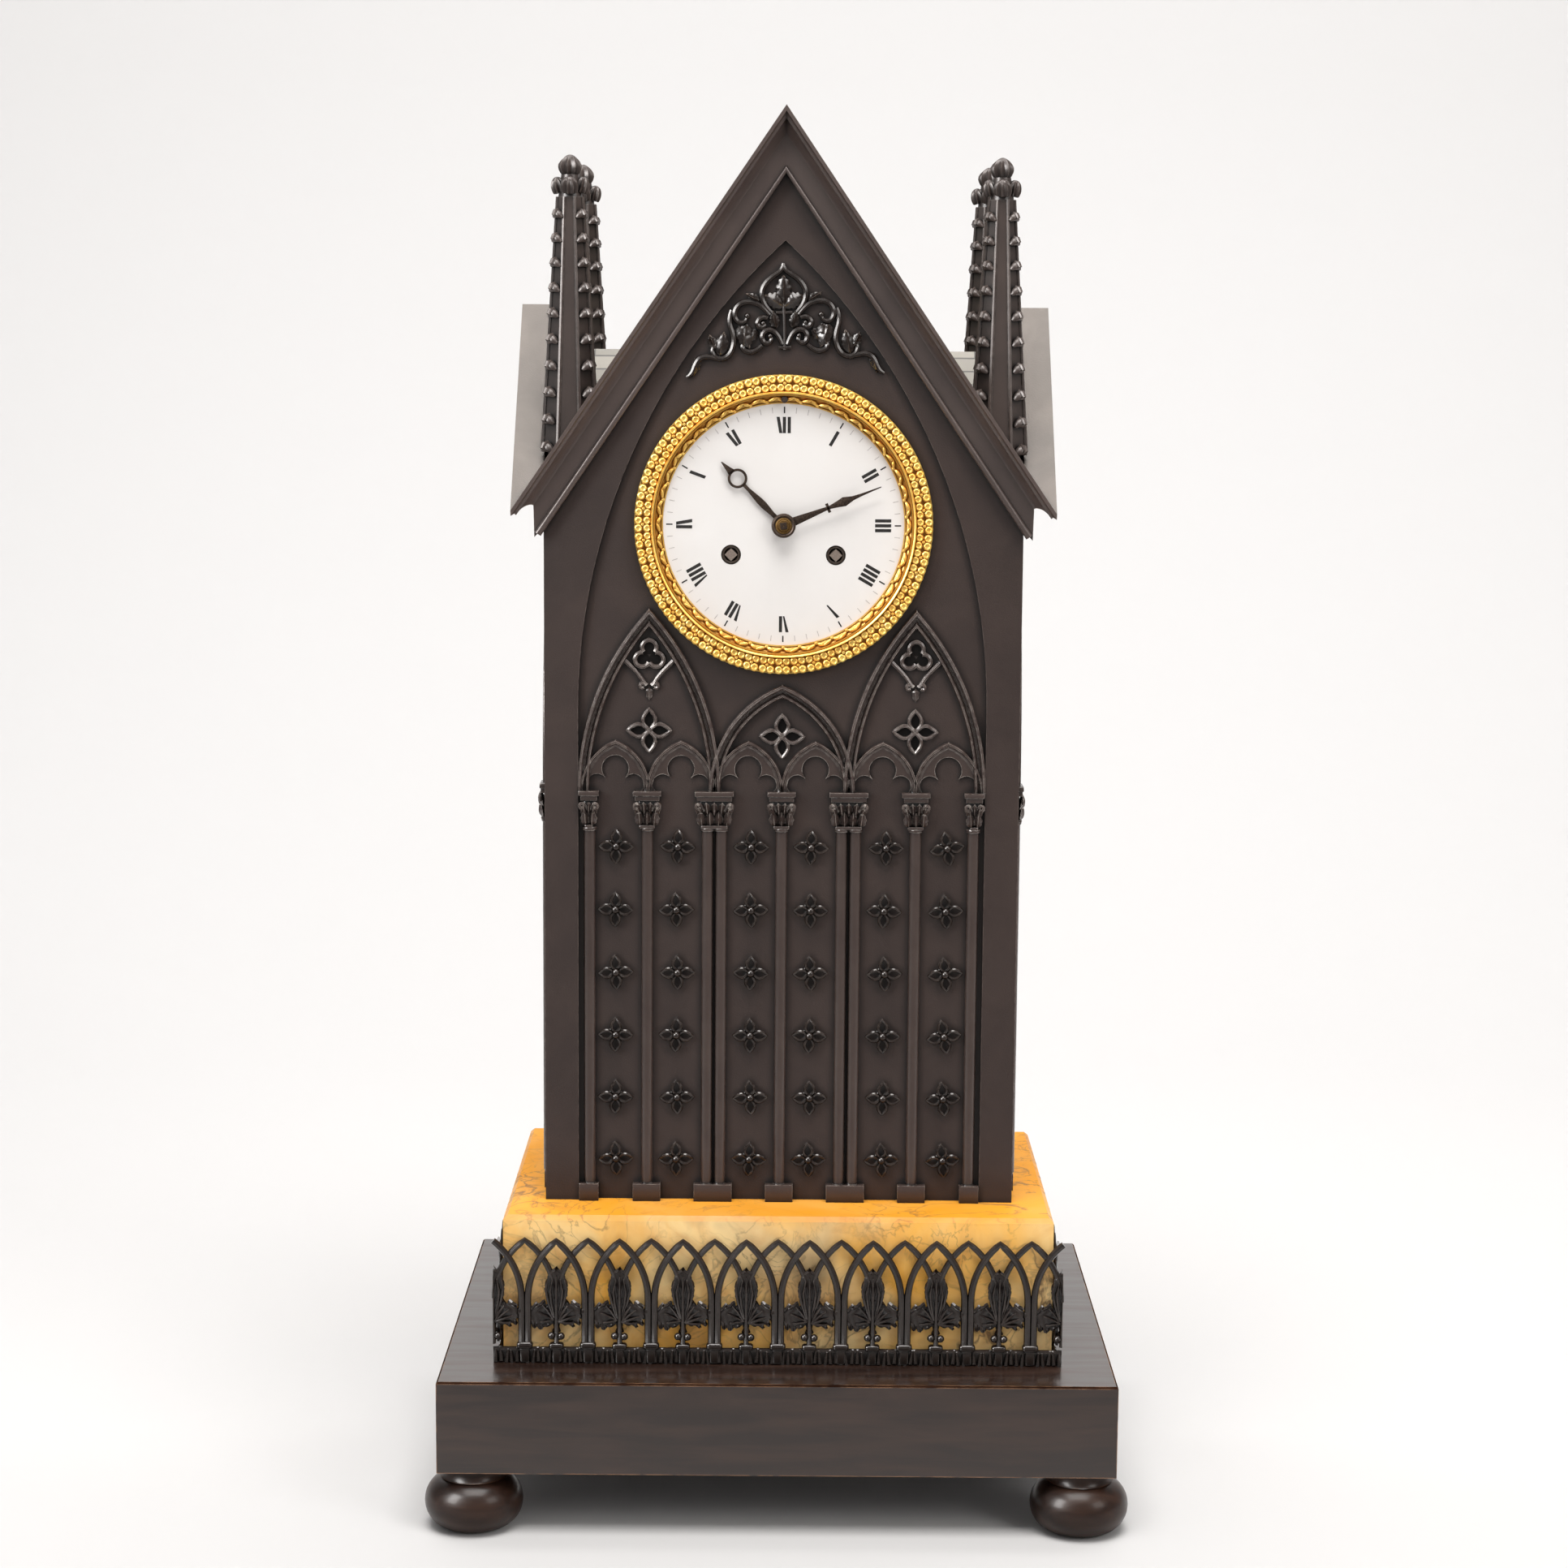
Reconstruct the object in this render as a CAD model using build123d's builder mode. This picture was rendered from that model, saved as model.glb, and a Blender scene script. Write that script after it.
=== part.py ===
from build123d import *
import os
from math import acos, atan2, cos, degrees, hypot, pi, radians, sin, sqrt, tan

os.makedirs("parts", exist_ok=True)

# Driving sizes of the base, in millimetres
foot_height = 25.0
foot_diameter = 38.8
foot_neck = 24.0
foot_flat = 20.0
foot_inset = 13.4
slab_width = 266.0
slab_depth = 197.0
slab_height = 37.0
slab_edge = 0.8
marble_width = 218.0
marble_depth = 140.0
marble_height = 59.0
marble_edge = 1.8

# Driving sizes of the bronze case
case_width = 187.6
case_depth = 100.0
case_setback = 24.0
wall_height = 270.5
wall = 2.5
panel_thick = 3.0
front_pitch = 55.66
side_pitch = 52.0
cornice_reach = 12.0
cornice_lip = 7.1
cornice_drop = 3.7
parapet = 20.0
roof_lift = 8.0
roof_thick = 3.5
recess_width = 161.0
recess_spring = 199.0
recess_rise = 182.8
panel_lap = 2.0

# Driving sizes of the corner pinnacles
pinnacle_inset = 10.0
pinnacle_foot = 25.0
pinnacle_neck = 10.0
pinnacle_height = 124.0
finial_height = 17.0
finial_spread = 15.0
crocket_rows = 12
crocket_size = 4.2
crocket_drop = 6.0
crocket_step = 8.4
crocket_growth = 0.32
pinnacle_lift = 3.5
bud_share = 0.17
bud_foot = 0.08
bud_tall = 0.34
stem_share = 0.8
stem_tall = 0.5
crown_foot = 0.45
crown_waist = 0.72
crown_share = 0.5
crown_tip = 0.12
corner_block = 20.0
block_height = 24.0

# Driving sizes of the blind arcade on the front panel
bay_pitch = 26.6
edge_column = 78.5
shaft_diameter = 4.3
twin_offset = 2.75
column_foot = 7.1
column_foot_width = 11.1
capital_bottom = 152.3
capital_height = 14.3
capital_width = 11.2
capital_reach = 4.4
abacus = 4.0
twin_extra = 4.2
edge_share = 0.7
shaft_stand = 0.9
necking_share = 0.72
bell_share = 0.9
big_arch_rise = 70.8
middle_arch_rise = 41.8
small_arch_rise = 19.8
arch_band = 4.8
small_arch_band = 3.0
arch_relief = 3.2
apex_share = 0.7
foil_relief = 1.8
quatrefoil_size = 17.2
trefoil_size = 12.4
lobe_share = 1.35
eye_share = 0.45
side_quatrefoil_rise = 24.0
middle_quatrefoil_rise = 21.9
trefoil_rise = 53.7
rosette_size = 14.2
rosette_rows = 6
rosette_pitch = 25.45
rosette_first = 16.9
rosette_relief = 3.0
rosette_waist = 0.46
petal_relief = 1.8
bead_share = 0.15
side_reach = 3.4
side_relief = 2.7

# Driving sizes of the pierced gallery round the marble
gallery_height = 51.0
gallery_band = 7.8
gallery_gap = 1.4
gallery_thick = 2.4
gallery_bays = 8
gallery_side_bays = 5
rod_width = 2.3
rod_offset = 1.2
gallery_spring = 26.0
leaf_width = 17.6
leaf_height = 28.4
leaf_foot = 7.4

# Driving sizes of the dial, bezel and hands
dial_height = 272.0
dial_radius = 50.6
dial_thick = 1.5
dial_dome = 0.8
bezel_outer = 58.5
bezel_inner = 51.0
bezel_relief = 6.5
bezel_inner_share = 0.75
bezel_outer_share = 0.45
slip_inner = 47.2
slip_relief = 3.2
slip_edge_share = 0.25
slip_gap = 0.1
notch_width = 4.4
ornament_rise = 67.6
winding_spread = 41.0
winding_drop = 11.7
winding_hole = 7.8
regulator_rise = 48.7
regulator_diameter = 2.5
hour_reach = 34.5
minute_reach = 40.8
hour_angle = 45.0
minute_angle = -68.0
hand_thick = 0.7
hand_clearance = 0.5
hand_gap = 1.6

# Driving sizes of the movement
plate_radius = 45.0
plate_thick = 2.0
plate_spacing = 32.0
dial_ring_thick = 2.0
dial_post = 7.5
pillar_diameter = 6.0
barrel_radius = 17.6
barrel_length = 20.0
wheel_thick = 1.2
arbor_diameter = 4.0
thin_arbor = 1.2
centre_arbor = 2.0
running = 0.05
shake = 0.35
pendulum_length = 248.0
bob_radius = 26.0
bob_thick = 12.0
bell_radius = 33.0
bell_wall = 1.6
door_opening = 46.0
door_radius = 50.0
door_thick = 1.6
hinge_pin = 2.4

# Tooth counts and modules of the going train, the strike and the motion work
great_teeth = 76
great_module = 0.505
second_teeth = 60
second_leaves = 12
second_module = 0.42
centre_teeth = 72
centre_leaves = 10
centre_module = 0.30
third_teeth = 80
third_leaves = 8
third_module = 0.25
escape_teeth = 40
escape_leaves = 8
escape_radius = 8.0
pin_teeth = 60
pin_module = 0.36
fly_leaves = 8
cannon_leaves = 12
cannon_module = 0.50
minute_teeth = 36
minute_leaves = 10
hour_teeth = 40
hour_module = 0.48
addendum = 0.8
dedendum = 1.15
tooth_root = 0.22
tooth_tip = 0.09

# Levels and faces worked out from the driving sizes
slab_top = foot_height + slab_height
case_bottom = slab_top + marble_height
eaves = case_bottom + wall_height
case_front = case_setback - marble_depth / 2
case_back = case_front + case_depth
case_middle = (case_front + case_back) / 2
half_width = case_width / 2
half_depth = case_depth / 2
panel_front = case_front + wall
panel_back = panel_front + panel_thick
front_slope = tan(radians(front_pitch))
side_slope = tan(radians(side_pitch))
dial_z = case_bottom + dial_height
dial_back = panel_front
dial_face = dial_back - dial_thick
plate_front = panel_front + dial_ring_thick + dial_post
plate_back = plate_front + plate_thick + plate_spacing
capital_top = case_bottom + capital_bottom + capital_height
pinnacle_base = eaves + pinnacle_lift
inner_back = case_back - wall


def save(piece, name):
    piece.part.label = name
    export_step(piece.part, f"parts/{name}.step")


def front(y):
    return Plane.XZ.offset(-y)


def flank(x):
    return Plane.YZ.offset(x)


def lancet_face(half_span, rise):
    radius = (half_span**2 + rise**2) / (2 * half_span)
    shoulder = acos((radius - half_span) / radius) / 2
    middle = (half_span - radius + radius * cos(shoulder), radius * sin(shoulder))
    with BuildSketch() as lancet:
        with BuildLine():
            ThreePointArc((half_span, 0), middle, (0, rise))
            ThreePointArc((0, rise), (-middle[0], middle[1]), (-half_span, 0))
            Line((-half_span, 0), (half_span, 0))
        make_face()
    return lancet.sketch


def lancet_band(half_span, rise, band):
    outer = lancet_face(half_span + band / 2, rise + band / 2)
    inner = lancet_face(half_span - band / 2, rise - band * apex_share)
    with BuildSketch() as ring:
        add(outer)
        add(inner, mode=Mode.SUBTRACT)
    return ring.sketch


def gear_face(teeth, module, phase, bore):
    pitch_radius = module * teeth / 2
    step = 2 * pi / teeth
    outline = []
    for index in range(teeth):
        middle = phase + index * step
        for share, reach in ((-tooth_root, -dedendum), (-tooth_tip, addendum),
                             (tooth_tip, addendum), (tooth_root, -dedendum)):
            radius = pitch_radius + reach * module
            angle = middle + share * step
            outline.append((radius * cos(angle), radius * sin(angle)))
    with BuildSketch() as gear:
        with BuildLine():
            Polyline(*outline, close=True)
        make_face()
        if bore:
            Circle(bore, mode=Mode.SUBTRACT)
    return gear.sketch


def foil_face(count, size, start):
    lobe = lobe_share * size / (2 + 2 / sin(pi / count))
    orbit = size / 2 - lobe
    with BuildSketch() as foil:
        with PolarLocations(orbit, count, start_angle=start):
            Circle(lobe)
        with PolarLocations(orbit, count, start_angle=start):
            Circle(lobe * eye_share, mode=Mode.SUBTRACT)
    return foil.sketch


# Bun feet: four turned feet, each with a neck under the slab and a flat to stand on
foot_x = slab_width / 2 - foot_inset
foot_y = slab_depth / 2 - foot_inset
foot_neck_height = 5.0
bun_height = foot_height - foot_neck_height
with BuildSketch(Plane.XZ) as foot_profile:
    with BuildLine():
        Line((0, 0), (foot_flat / 2, 0))
        ThreePointArc((foot_flat / 2, 0), (foot_diameter / 2, bun_height / 2),
                      (foot_neck / 2, bun_height))
        Line((foot_neck / 2, bun_height), (foot_neck / 2, foot_height))
        Line((foot_neck / 2, foot_height), (0, foot_height))
        Line((0, foot_height), (0, 0))
    make_face()
foot_solid = revolve(foot_profile.sketch, Axis.Z)
with BuildPart() as bun_feet:
    with GridLocations(2 * foot_x, 2 * foot_y, 2, 2):
        add(foot_solid)
save(bun_feet, "bun_feet")

# Base slab
with BuildPart() as base_slab:
    with BuildSketch(Plane.XY.offset(foot_height)):
        Rectangle(slab_width, slab_depth)
    extrude(amount=slab_height)
    chamfer(base_slab.faces().sort_by(Axis.Z)[-1].edges(), slab_edge)
save(base_slab, "base_slab")

# Marble plinth
with BuildPart() as marble_plinth:
    with BuildSketch(Plane.XY.offset(slab_top)):
        Rectangle(marble_width, marble_depth)
    extrude(amount=marble_height)
    chamfer(marble_plinth.faces().sort_by(Axis.Z)[-1].edges(), marble_edge)
save(marble_plinth, "marble_plinth")


# Pierced gallery: interlaced lancets on paired rods, with a vine leaf in each bay
def leaf_face():
    half = leaf_width / 2
    shares = [(0.3, 0), (0.3, 0.06), (0.31, 0.13), (0.2, 0.17), (0.5, 0.19), (0.89, 0.34), (1.0, 0.5),
              (0.66, 0.56), (0.33, 0.5), (0.52, 0.75), (0.44, 0.89)]
    right = [(half * across, leaf_height * up) for across, up in shares]
    left = [(-x, z) for x, z in reversed(right)]
    with BuildSketch() as leaf:
        with BuildLine():
            Polyline(*right, (0, leaf_height), *left, close=True)
        make_face()
    return leaf.sketch


def gallery_face(bays, length):
    pitch = length / (bays + 1)
    arch_rise = gallery_height - gallery_spring - rod_width / 2
    arch = lancet_band(pitch / 2 - rod_offset, arch_rise, rod_width)
    leaf = leaf_face()
    posts = [(index - bays / 2) * pitch for index in range(bays + 1)]
    middles = [(index - (bays + 1) / 2) * pitch for index in range(bays + 2)]
    with BuildSketch() as tracery:
        with Locations((0, gallery_band / 2)):
            Rectangle(length, gallery_band)
        for post in posts:
            for rod in (post - rod_offset, post + rod_offset):
                with Locations((rod, gallery_spring / 2)):
                    Rectangle(rod_width, gallery_spring)
            with Locations((post, gallery_spring)):
                add(arch)
        for middle in middles:
            with Locations((middle, gallery_spring)):
                add(arch)
            with Locations((middle, leaf_foot)):
                add(leaf)
        with Locations((0, gallery_height / 2)):
            Rectangle(length, gallery_height, mode=Mode.INTERSECT)
    return tracery.sketch


gallery_y = marble_depth / 2 + gallery_gap
gallery_x = marble_width / 2 + gallery_gap
front_tracery = gallery_face(gallery_bays, 2 * (gallery_x + gallery_thick))
side_tracery = gallery_face(gallery_side_bays, 2 * gallery_y)
with BuildPart() as gallery_front:
    with BuildSketch(front(-gallery_y)):
        with Locations((0, slab_top)):
            add(front_tracery)
    extrude(amount=gallery_thick)
save(gallery_front, "gallery_front")
for name, x in (("gallery_left", -gallery_x - gallery_thick), ("gallery_right", gallery_x)):
    with BuildPart() as gallery_side:
        with BuildSketch(flank(x)):
            with Locations((0, slab_top)):
                add(side_tracery)
        extrude(amount=gallery_thick)
    save(gallery_side, name)

# Octagonal corner pinnacles: each also cuts its seat in the roof
seat_clearance = 0.15


def octagon_radius(across_flats):
    return across_flats / 2 / cos(pi / 8)


def pinnacle_core(clearance):
    with BuildPart() as core:
        with BuildSketch(Plane.XY.offset(pinnacle_base - clearance)):
            RegularPolygon(octagon_radius(pinnacle_foot + 2 * clearance), 8, rotation=22.5)
        with BuildSketch(Plane.XY.offset(pinnacle_base + pinnacle_height)):
            RegularPolygon(octagon_radius(pinnacle_neck + 2 * clearance), 8, rotation=22.5)
        loft()
    return core.part


# Outline of a crocket in shares of its size: out from the face, and up
crocket_outline = [(-0.14, -0.6), (0.35, -0.2), (0.7, 0.1), (-0.14, 0.4)]


def crocket_wedge(height):
    level = (height - pinnacle_base) / pinnacle_height
    face_reach = (pinnacle_foot + (pinnacle_neck - pinnacle_foot) * level) / 2
    with BuildPart() as wedge:
        with BuildSketch(Plane.XZ.offset(-crocket_size / 2)):
            with BuildLine():
                Polyline(
                    *[(face_reach + crocket_size * out, height + crocket_size * up)
                      for out, up in crocket_outline],
                    close=True,
                )
            make_face()
        extrude(amount=crocket_size)
    return wedge.part


finial_level = pinnacle_base + pinnacle_height
crocket_first = finial_level - crocket_drop
crocket_levels = [crocket_first - row * crocket_step - crocket_growth * row * (row - 1) / 2
                  for row in range(crocket_rows)]
crockets = [crocket_wedge(level) for level in crocket_levels if level > pinnacle_base + crocket_size]
bud_radius = finial_spread * bud_share
with BuildPart() as pinnacle:
    add(pinnacle_core(0))
    for wedge in crockets:
        for corner in range(4):
            add(wedge.rotate(Axis.Z, 45 + 90 * corner))
    with BuildSketch(Plane.XY.offset(finial_level)):
        RegularPolygon(octagon_radius(pinnacle_neck * stem_share), 8, rotation=22.5)
    extrude(amount=finial_height * stem_tall)
    with BuildSketch(Plane.XY.offset(finial_level + finial_height * bud_foot)):
        with PolarLocations(finial_spread / 2 - bud_radius, 4):
            RegularPolygon(bud_radius, 6)
    extrude(amount=finial_height * bud_tall)
    with BuildSketch(Plane.XY.offset(finial_level + finial_height * crown_foot)):
        RegularPolygon(pinnacle_neck * crown_share, 8)
    with BuildSketch(Plane.XY.offset(finial_level + finial_height * crown_waist)):
        RegularPolygon(pinnacle_neck * crown_share, 8)
    with BuildSketch(Plane.XY.offset(finial_level + finial_height)):
        RegularPolygon(pinnacle_neck * crown_tip, 8)
    loft(ruled=True)
pinnacle_spots = [(side * (half_width - pinnacle_inset), y) for side in (-1, 1)
                  for y in (case_front + pinnacle_inset, case_back - pinnacle_inset)]


# Outline of a gabled wall, raised by a plumb lift above the rake
def gable_points(half, slope, lift):
    return [(-half, case_bottom), (half, case_bottom), (half, eaves + lift),
            (0, eaves + lift + slope * half), (-half, eaves + lift)]


cornice_top = cornice_lip + front_slope * cornice_reach + seat_clearance
with BuildPart() as front_right_pinnacle:
    with Locations((half_width - pinnacle_inset, case_front + pinnacle_inset, 0)):
        add(pinnacle.part)
    with BuildSketch(front(panel_front + seat_clearance)):
        with BuildLine():
            Polyline(*gable_points(half_width + pinnacle_foot, front_slope, cornice_top
                                   - front_slope * pinnacle_foot), close=True)
        make_face()
    extrude(amount=pinnacle_foot, mode=Mode.SUBTRACT)
    with BuildSketch(flank(half_width - wall - seat_clearance)):
        with BuildLine():
            Polyline(*[(case_middle + y, z) for y, z in
                       gable_points(half_depth + pinnacle_foot, side_slope, cornice_top
                                    - side_slope * pinnacle_foot)], close=True)
        make_face()
    extrude(amount=pinnacle_foot, mode=Mode.SUBTRACT)
right_pair = [front_right_pinnacle.part, front_right_pinnacle.part.mirror(Plane.XZ.offset(-case_middle))]
with BuildPart() as pinnacles:
    for standing in right_pair:
        add(standing)
        add(standing.mirror(Plane.YZ))
save(pinnacles, "pinnacles")
seat_cutter = pinnacle.part + pinnacle_core(seat_clearance)
pinnacle_seats = [Pos(x, y, 0) * seat_cutter for x, y in pinnacle_spots]

# Case walls: gabled plates with parapets behind the cornices
recess_half = recess_width / 2
recess_top = case_bottom + recess_spring
with BuildPart() as front_plate:
    with BuildSketch(front(panel_front)):
        with BuildLine():
            Polyline(*gable_points(half_width, front_slope, parapet), close=True)
        make_face()
        with Locations((0, recess_top)):
            add(lancet_face(recess_half, recess_rise), mode=Mode.SUBTRACT)
        with Locations((0, case_bottom + recess_spring / 2)):
            Rectangle(recess_width, recess_spring, mode=Mode.SUBTRACT)
    extrude(amount=wall)
save(front_plate, "front_plate")

with BuildPart() as front_panel:
    with BuildSketch(front(panel_back)):
        with Locations((0, recess_top)):
            add(lancet_face(recess_half + panel_lap, recess_rise + panel_lap))
        with Locations((0, case_bottom + recess_spring / 2)):
            Rectangle(recess_width + 2 * panel_lap, recess_spring)
        with Locations((0, dial_z)):
            Circle(dial_radius + seat_clearance, mode=Mode.SUBTRACT)
    extrude(amount=panel_thick)
save(front_panel, "front_panel")

with BuildPart() as back_plate:
    with BuildSketch(front(case_back)):
        with BuildLine():
            Polyline(*gable_points(half_width, front_slope, parapet), close=True)
        make_face()
        with Locations((0, dial_z)):
            Circle(door_opening, mode=Mode.SUBTRACT)
    extrude(amount=wall)
save(back_plate, "back_plate")

side_gable = gable_points(half_depth - wall, side_slope, parapet)
for name, x in (("left_plate", -half_width), ("right_plate", half_width - wall)):
    with BuildPart() as side_plate:
        with BuildSketch(flank(x)):
            with BuildLine():
                Polyline(*[(case_middle + y, z) for y, z in side_gable], close=True)
            make_face()
        extrude(amount=wall)
    save(side_plate, name)

# Corner blocks that tie the walls and carry the pinnacles
block_x = half_width - wall - corner_block / 2
block_y = half_depth - wall - corner_block / 2
with BuildPart() as corner_blocks:
    with BuildSketch(Plane.XY.offset(pinnacle_base - block_height)):
        with Locations((0, case_middle)):
            with GridLocations(2 * block_x, 2 * block_y, 2, 2):
                Rectangle(corner_block, corner_block)
    extrude(amount=block_height)
    with BuildSketch(Plane.XZ.offset(-panel_back)):
        with Locations((0, recess_top)):
            add(lancet_face(recess_half + panel_lap, recess_rise + panel_lap))
    extrude(amount=panel_thick, mode=Mode.SUBTRACT)
save(corner_blocks, "corner_blocks")

# Cross roof behind the parapets
roof_half_x = half_width - wall
roof_half_y = half_depth - wall
roof_eaves = eaves + roof_lift


def roof_points(half, slope, drop):
    top = roof_eaves - drop
    return [(-half, eaves - drop), (half, eaves - drop), (half, top), (0, top + slope * half), (-half, top)]


with BuildPart() as roof:
    for drop, mode in ((0, Mode.ADD), (roof_thick, Mode.SUBTRACT)):
        with BuildSketch(front(inner_back)):
            with BuildLine():
                Polyline(*roof_points(roof_half_x, front_slope, drop), close=True)
            make_face()
        extrude(amount=2 * roof_half_y, mode=mode)
        with BuildSketch(flank(-roof_half_x)):
            with BuildLine():
                Polyline(*[(case_middle + y, z) for y, z in roof_points(roof_half_y, side_slope, drop)],
                         close=True)
            make_face()
        extrude(amount=2 * roof_half_x, mode=mode)
    for seat in pinnacle_seats:
        add(seat, mode=Mode.SUBTRACT)
save(roof, "roof")


# Raking cornices: one moulding section, mitred at the corners and at each apex.
# Its points are the reach from the wall and the height above the eaves.
fascia_foot = (3.4, -cornice_drop)
fascia_top = (3.7, 8.7)
cove_start = (4.3, 9.0)
cove_middle = (6.9, 8.4)
cove_end = (9.9, 5.2)
bead = (10.6, 5.8)
lip_foot = (11.9, 5.0)
lip_top = (cornice_reach, cornice_lip)
cornice_back = (0, cornice_lip + side_slope * cornice_reach)


def on_mitre(*points):
    return [(reach * sqrt(2), height) for reach, height in points]


def mitre_section():
    with BuildSketch() as section:
        with BuildLine():
            Polyline(*on_mitre(cornice_back, (0, 0), fascia_foot, fascia_top, cove_start))
            ThreePointArc(*on_mitre(cove_start, cove_middle, cove_end))
            Polyline(*on_mitre(cove_end, bead, lip_foot, lip_top, cornice_back))
        make_face()
    return section.sketch


cornice_section = mitre_section()


def corner_plane(y, outward):
    return Plane(origin=(half_width, y, eaves), x_dir=(1, outward, 0), z_dir=(outward, -1, 0))


def gable_cornice(name, y, outward):
    run = half_width + cornice_reach + wall
    with BuildPart() as cornice:
        with BuildSketch(corner_plane(y, outward)):
            add(cornice_section)
        extrude(amount=run * hypot(1, front_slope), dir=(-1, 0, front_slope))
        split(bisect_by=Plane.YZ, keep=Keep.TOP)
        mirror(about=Plane.YZ)
    save(cornice, name)


gable_cornice("cornice_front", case_front, -1)
gable_cornice("cornice_back", case_back, 1)

side_run = half_depth + cornice_reach + wall
with BuildPart() as cornice_right:
    with BuildSketch(corner_plane(case_front, -1)):
        add(cornice_section)
    extrude(amount=side_run * hypot(1, side_slope), dir=(0, 1, side_slope))
    split(bisect_by=Plane.XZ.offset(-case_middle), keep=Keep.TOP)
    mirror(about=Plane.XZ.offset(-case_middle))
save(cornice_right, "cornice_right")
with BuildPart() as cornice_left:
    add(cornice_right.part.mirror(Plane.YZ))
save(cornice_left, "cornice_left")

# Blind arcade: single, paired and half columns with their feet and capitals
half_column = edge_column - shaft_diameter / 2
single_columns = [-2 * bay_pitch, 0, 2 * bay_pitch]
paired_columns = [-bay_pitch, bay_pitch]
fit_gap = 0.2
shafts = [*single_columns, -half_column, half_column]
shafts += [column + offset for column in paired_columns for offset in (-twin_offset, twin_offset)]
column_bottom = case_bottom + column_foot
shaft_top = case_bottom + capital_bottom
bell_depth = capital_reach - shaft_stand
necking = shaft_diameter * necking_share


def column_blocks(width, twin, depth):
    rows = [(column, width, depth) for column in single_columns]
    rows += [(column, width + twin, depth) for column in paired_columns]
    edge = recess_half - fit_gap - width * edge_share / 2
    rows += [(side * edge, width * edge_share, depth) for side in (-1, 1)]
    return rows


with BuildPart() as arcade_columns:
    with BuildSketch(Plane.XY.offset(column_bottom)):
        with Locations(*[(x, panel_front - shaft_stand) for x in shafts]):
            Circle(shaft_diameter / 2)
    extrude(amount=shaft_top - column_bottom)
    split(bisect_by=front(panel_front), keep=Keep.TOP)
    for x, width, depth in column_blocks(column_foot_width, twin_extra, capital_reach):
        with BuildSketch(Plane.XY.offset(case_bottom)):
            with Locations((x, panel_front - depth / 2)):
                Rectangle(width, depth)
        extrude(amount=column_foot)
    for x, width, depth in column_blocks(capital_width, twin_extra, capital_reach):
        with BuildSketch(Plane.XY.offset(capital_top - abacus)):
            with Locations((x, panel_front - depth / 2)):
                Rectangle(width, depth)
        extrude(amount=abacus)
        with BuildSketch(Plane.XY.offset(shaft_top)):
            with Locations((x, panel_front - necking / 2)):
                Rectangle(width - shaft_diameter, necking)
        with BuildSketch(Plane.XY.offset(capital_top - abacus)):
            with Locations((x, panel_front - bell_depth / 2)):
                Rectangle(width * bell_share, bell_depth)
        loft()
save(arcade_columns, "arcade_columns")

# Raised arches over the columns
side_arch = (bay_pitch + edge_column) / 2
side_half = (edge_column - bay_pitch) / 2
last_bay = (2 * bay_pitch + edge_column) / 2
small_half = bay_pitch / 2 - small_arch_band / 4
side_lancet = lancet_band(side_half, big_arch_rise, arch_band)
middle_lancet = lancet_band(bay_pitch, middle_arch_rise, arch_band)
small_lancet = lancet_band(small_half, small_arch_rise, small_arch_band)
arch_bands = [(-side_arch, side_lancet), (side_arch, side_lancet), (0, middle_lancet)]
for middle in (bay_pitch / 2, 1.5 * bay_pitch, last_bay):
    arch_bands += [(-middle, small_lancet), (middle, small_lancet)]
with BuildPart() as arcade_arches:
    with BuildSketch(front(panel_front)):
        for x, band in arch_bands:
            with Locations((x, capital_top)):
                add(band)
        with Locations((0, capital_top + big_arch_rise / 2)):
            Rectangle(recess_width - 2 * fit_gap, big_arch_rise + 2 * arch_band, mode=Mode.INTERSECT)
    extrude(amount=arch_relief)
save(arcade_arches, "arcade_arches")

# Foils inside the arches
quatrefoil = foil_face(4, quatrefoil_size, 0)
trefoil = foil_face(3, trefoil_size, 90)
foil_spots = [(side * side_arch, capital_top + rise, face) for side in (-1, 1)
              for rise, face in ((side_quatrefoil_rise, quatrefoil), (trefoil_rise, trefoil))]
foil_spots.append((0, capital_top + middle_quatrefoil_rise, quatrefoil))
with BuildPart() as tracery_foils:
    with BuildSketch(front(panel_front)):
        for x, z, face in foil_spots:
            with Locations((x, z)):
                add(face)
    extrude(amount=foil_relief)
save(tracery_foils, "tracery_foils")

# Pinned rosettes in the six bays
shaft_reach = shaft_diameter / 2
bay_edges = [(shaft_reach, bay_pitch - twin_offset - shaft_reach),
             (bay_pitch + twin_offset + shaft_reach, 2 * bay_pitch - shaft_reach),
             (2 * bay_pitch + shaft_reach, half_column - shaft_reach)]
bay_middles = [(low + high) / 2 for low, high in bay_edges]
rosette_spots = [(side * middle, case_bottom + rosette_first + row * rosette_pitch)
                 for side in (-1, 1) for middle in bay_middles for row in range(rosette_rows)]
star_reach = [rosette_size / 2, rosette_size / 2 * rosette_waist] * 4
star = [(reach * cos(index * pi / 4), reach * sin(index * pi / 4))
        for index, reach in enumerate(star_reach)]
with BuildPart() as rosette:
    with BuildSketch(front(panel_front)):
        with BuildLine():
            Polyline(*star, close=True)
        make_face()
    extrude(amount=petal_relief)
    with BuildSketch(front(panel_front)):
        RegularPolygon(rosette_size * bead_share, 6)
    extrude(amount=rosette_relief)
with BuildPart() as rosettes:
    with Locations(*[(x, 0, z) for x, z in rosette_spots]):
        add(rosette.part)
save(rosettes, "rosettes")

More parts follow.
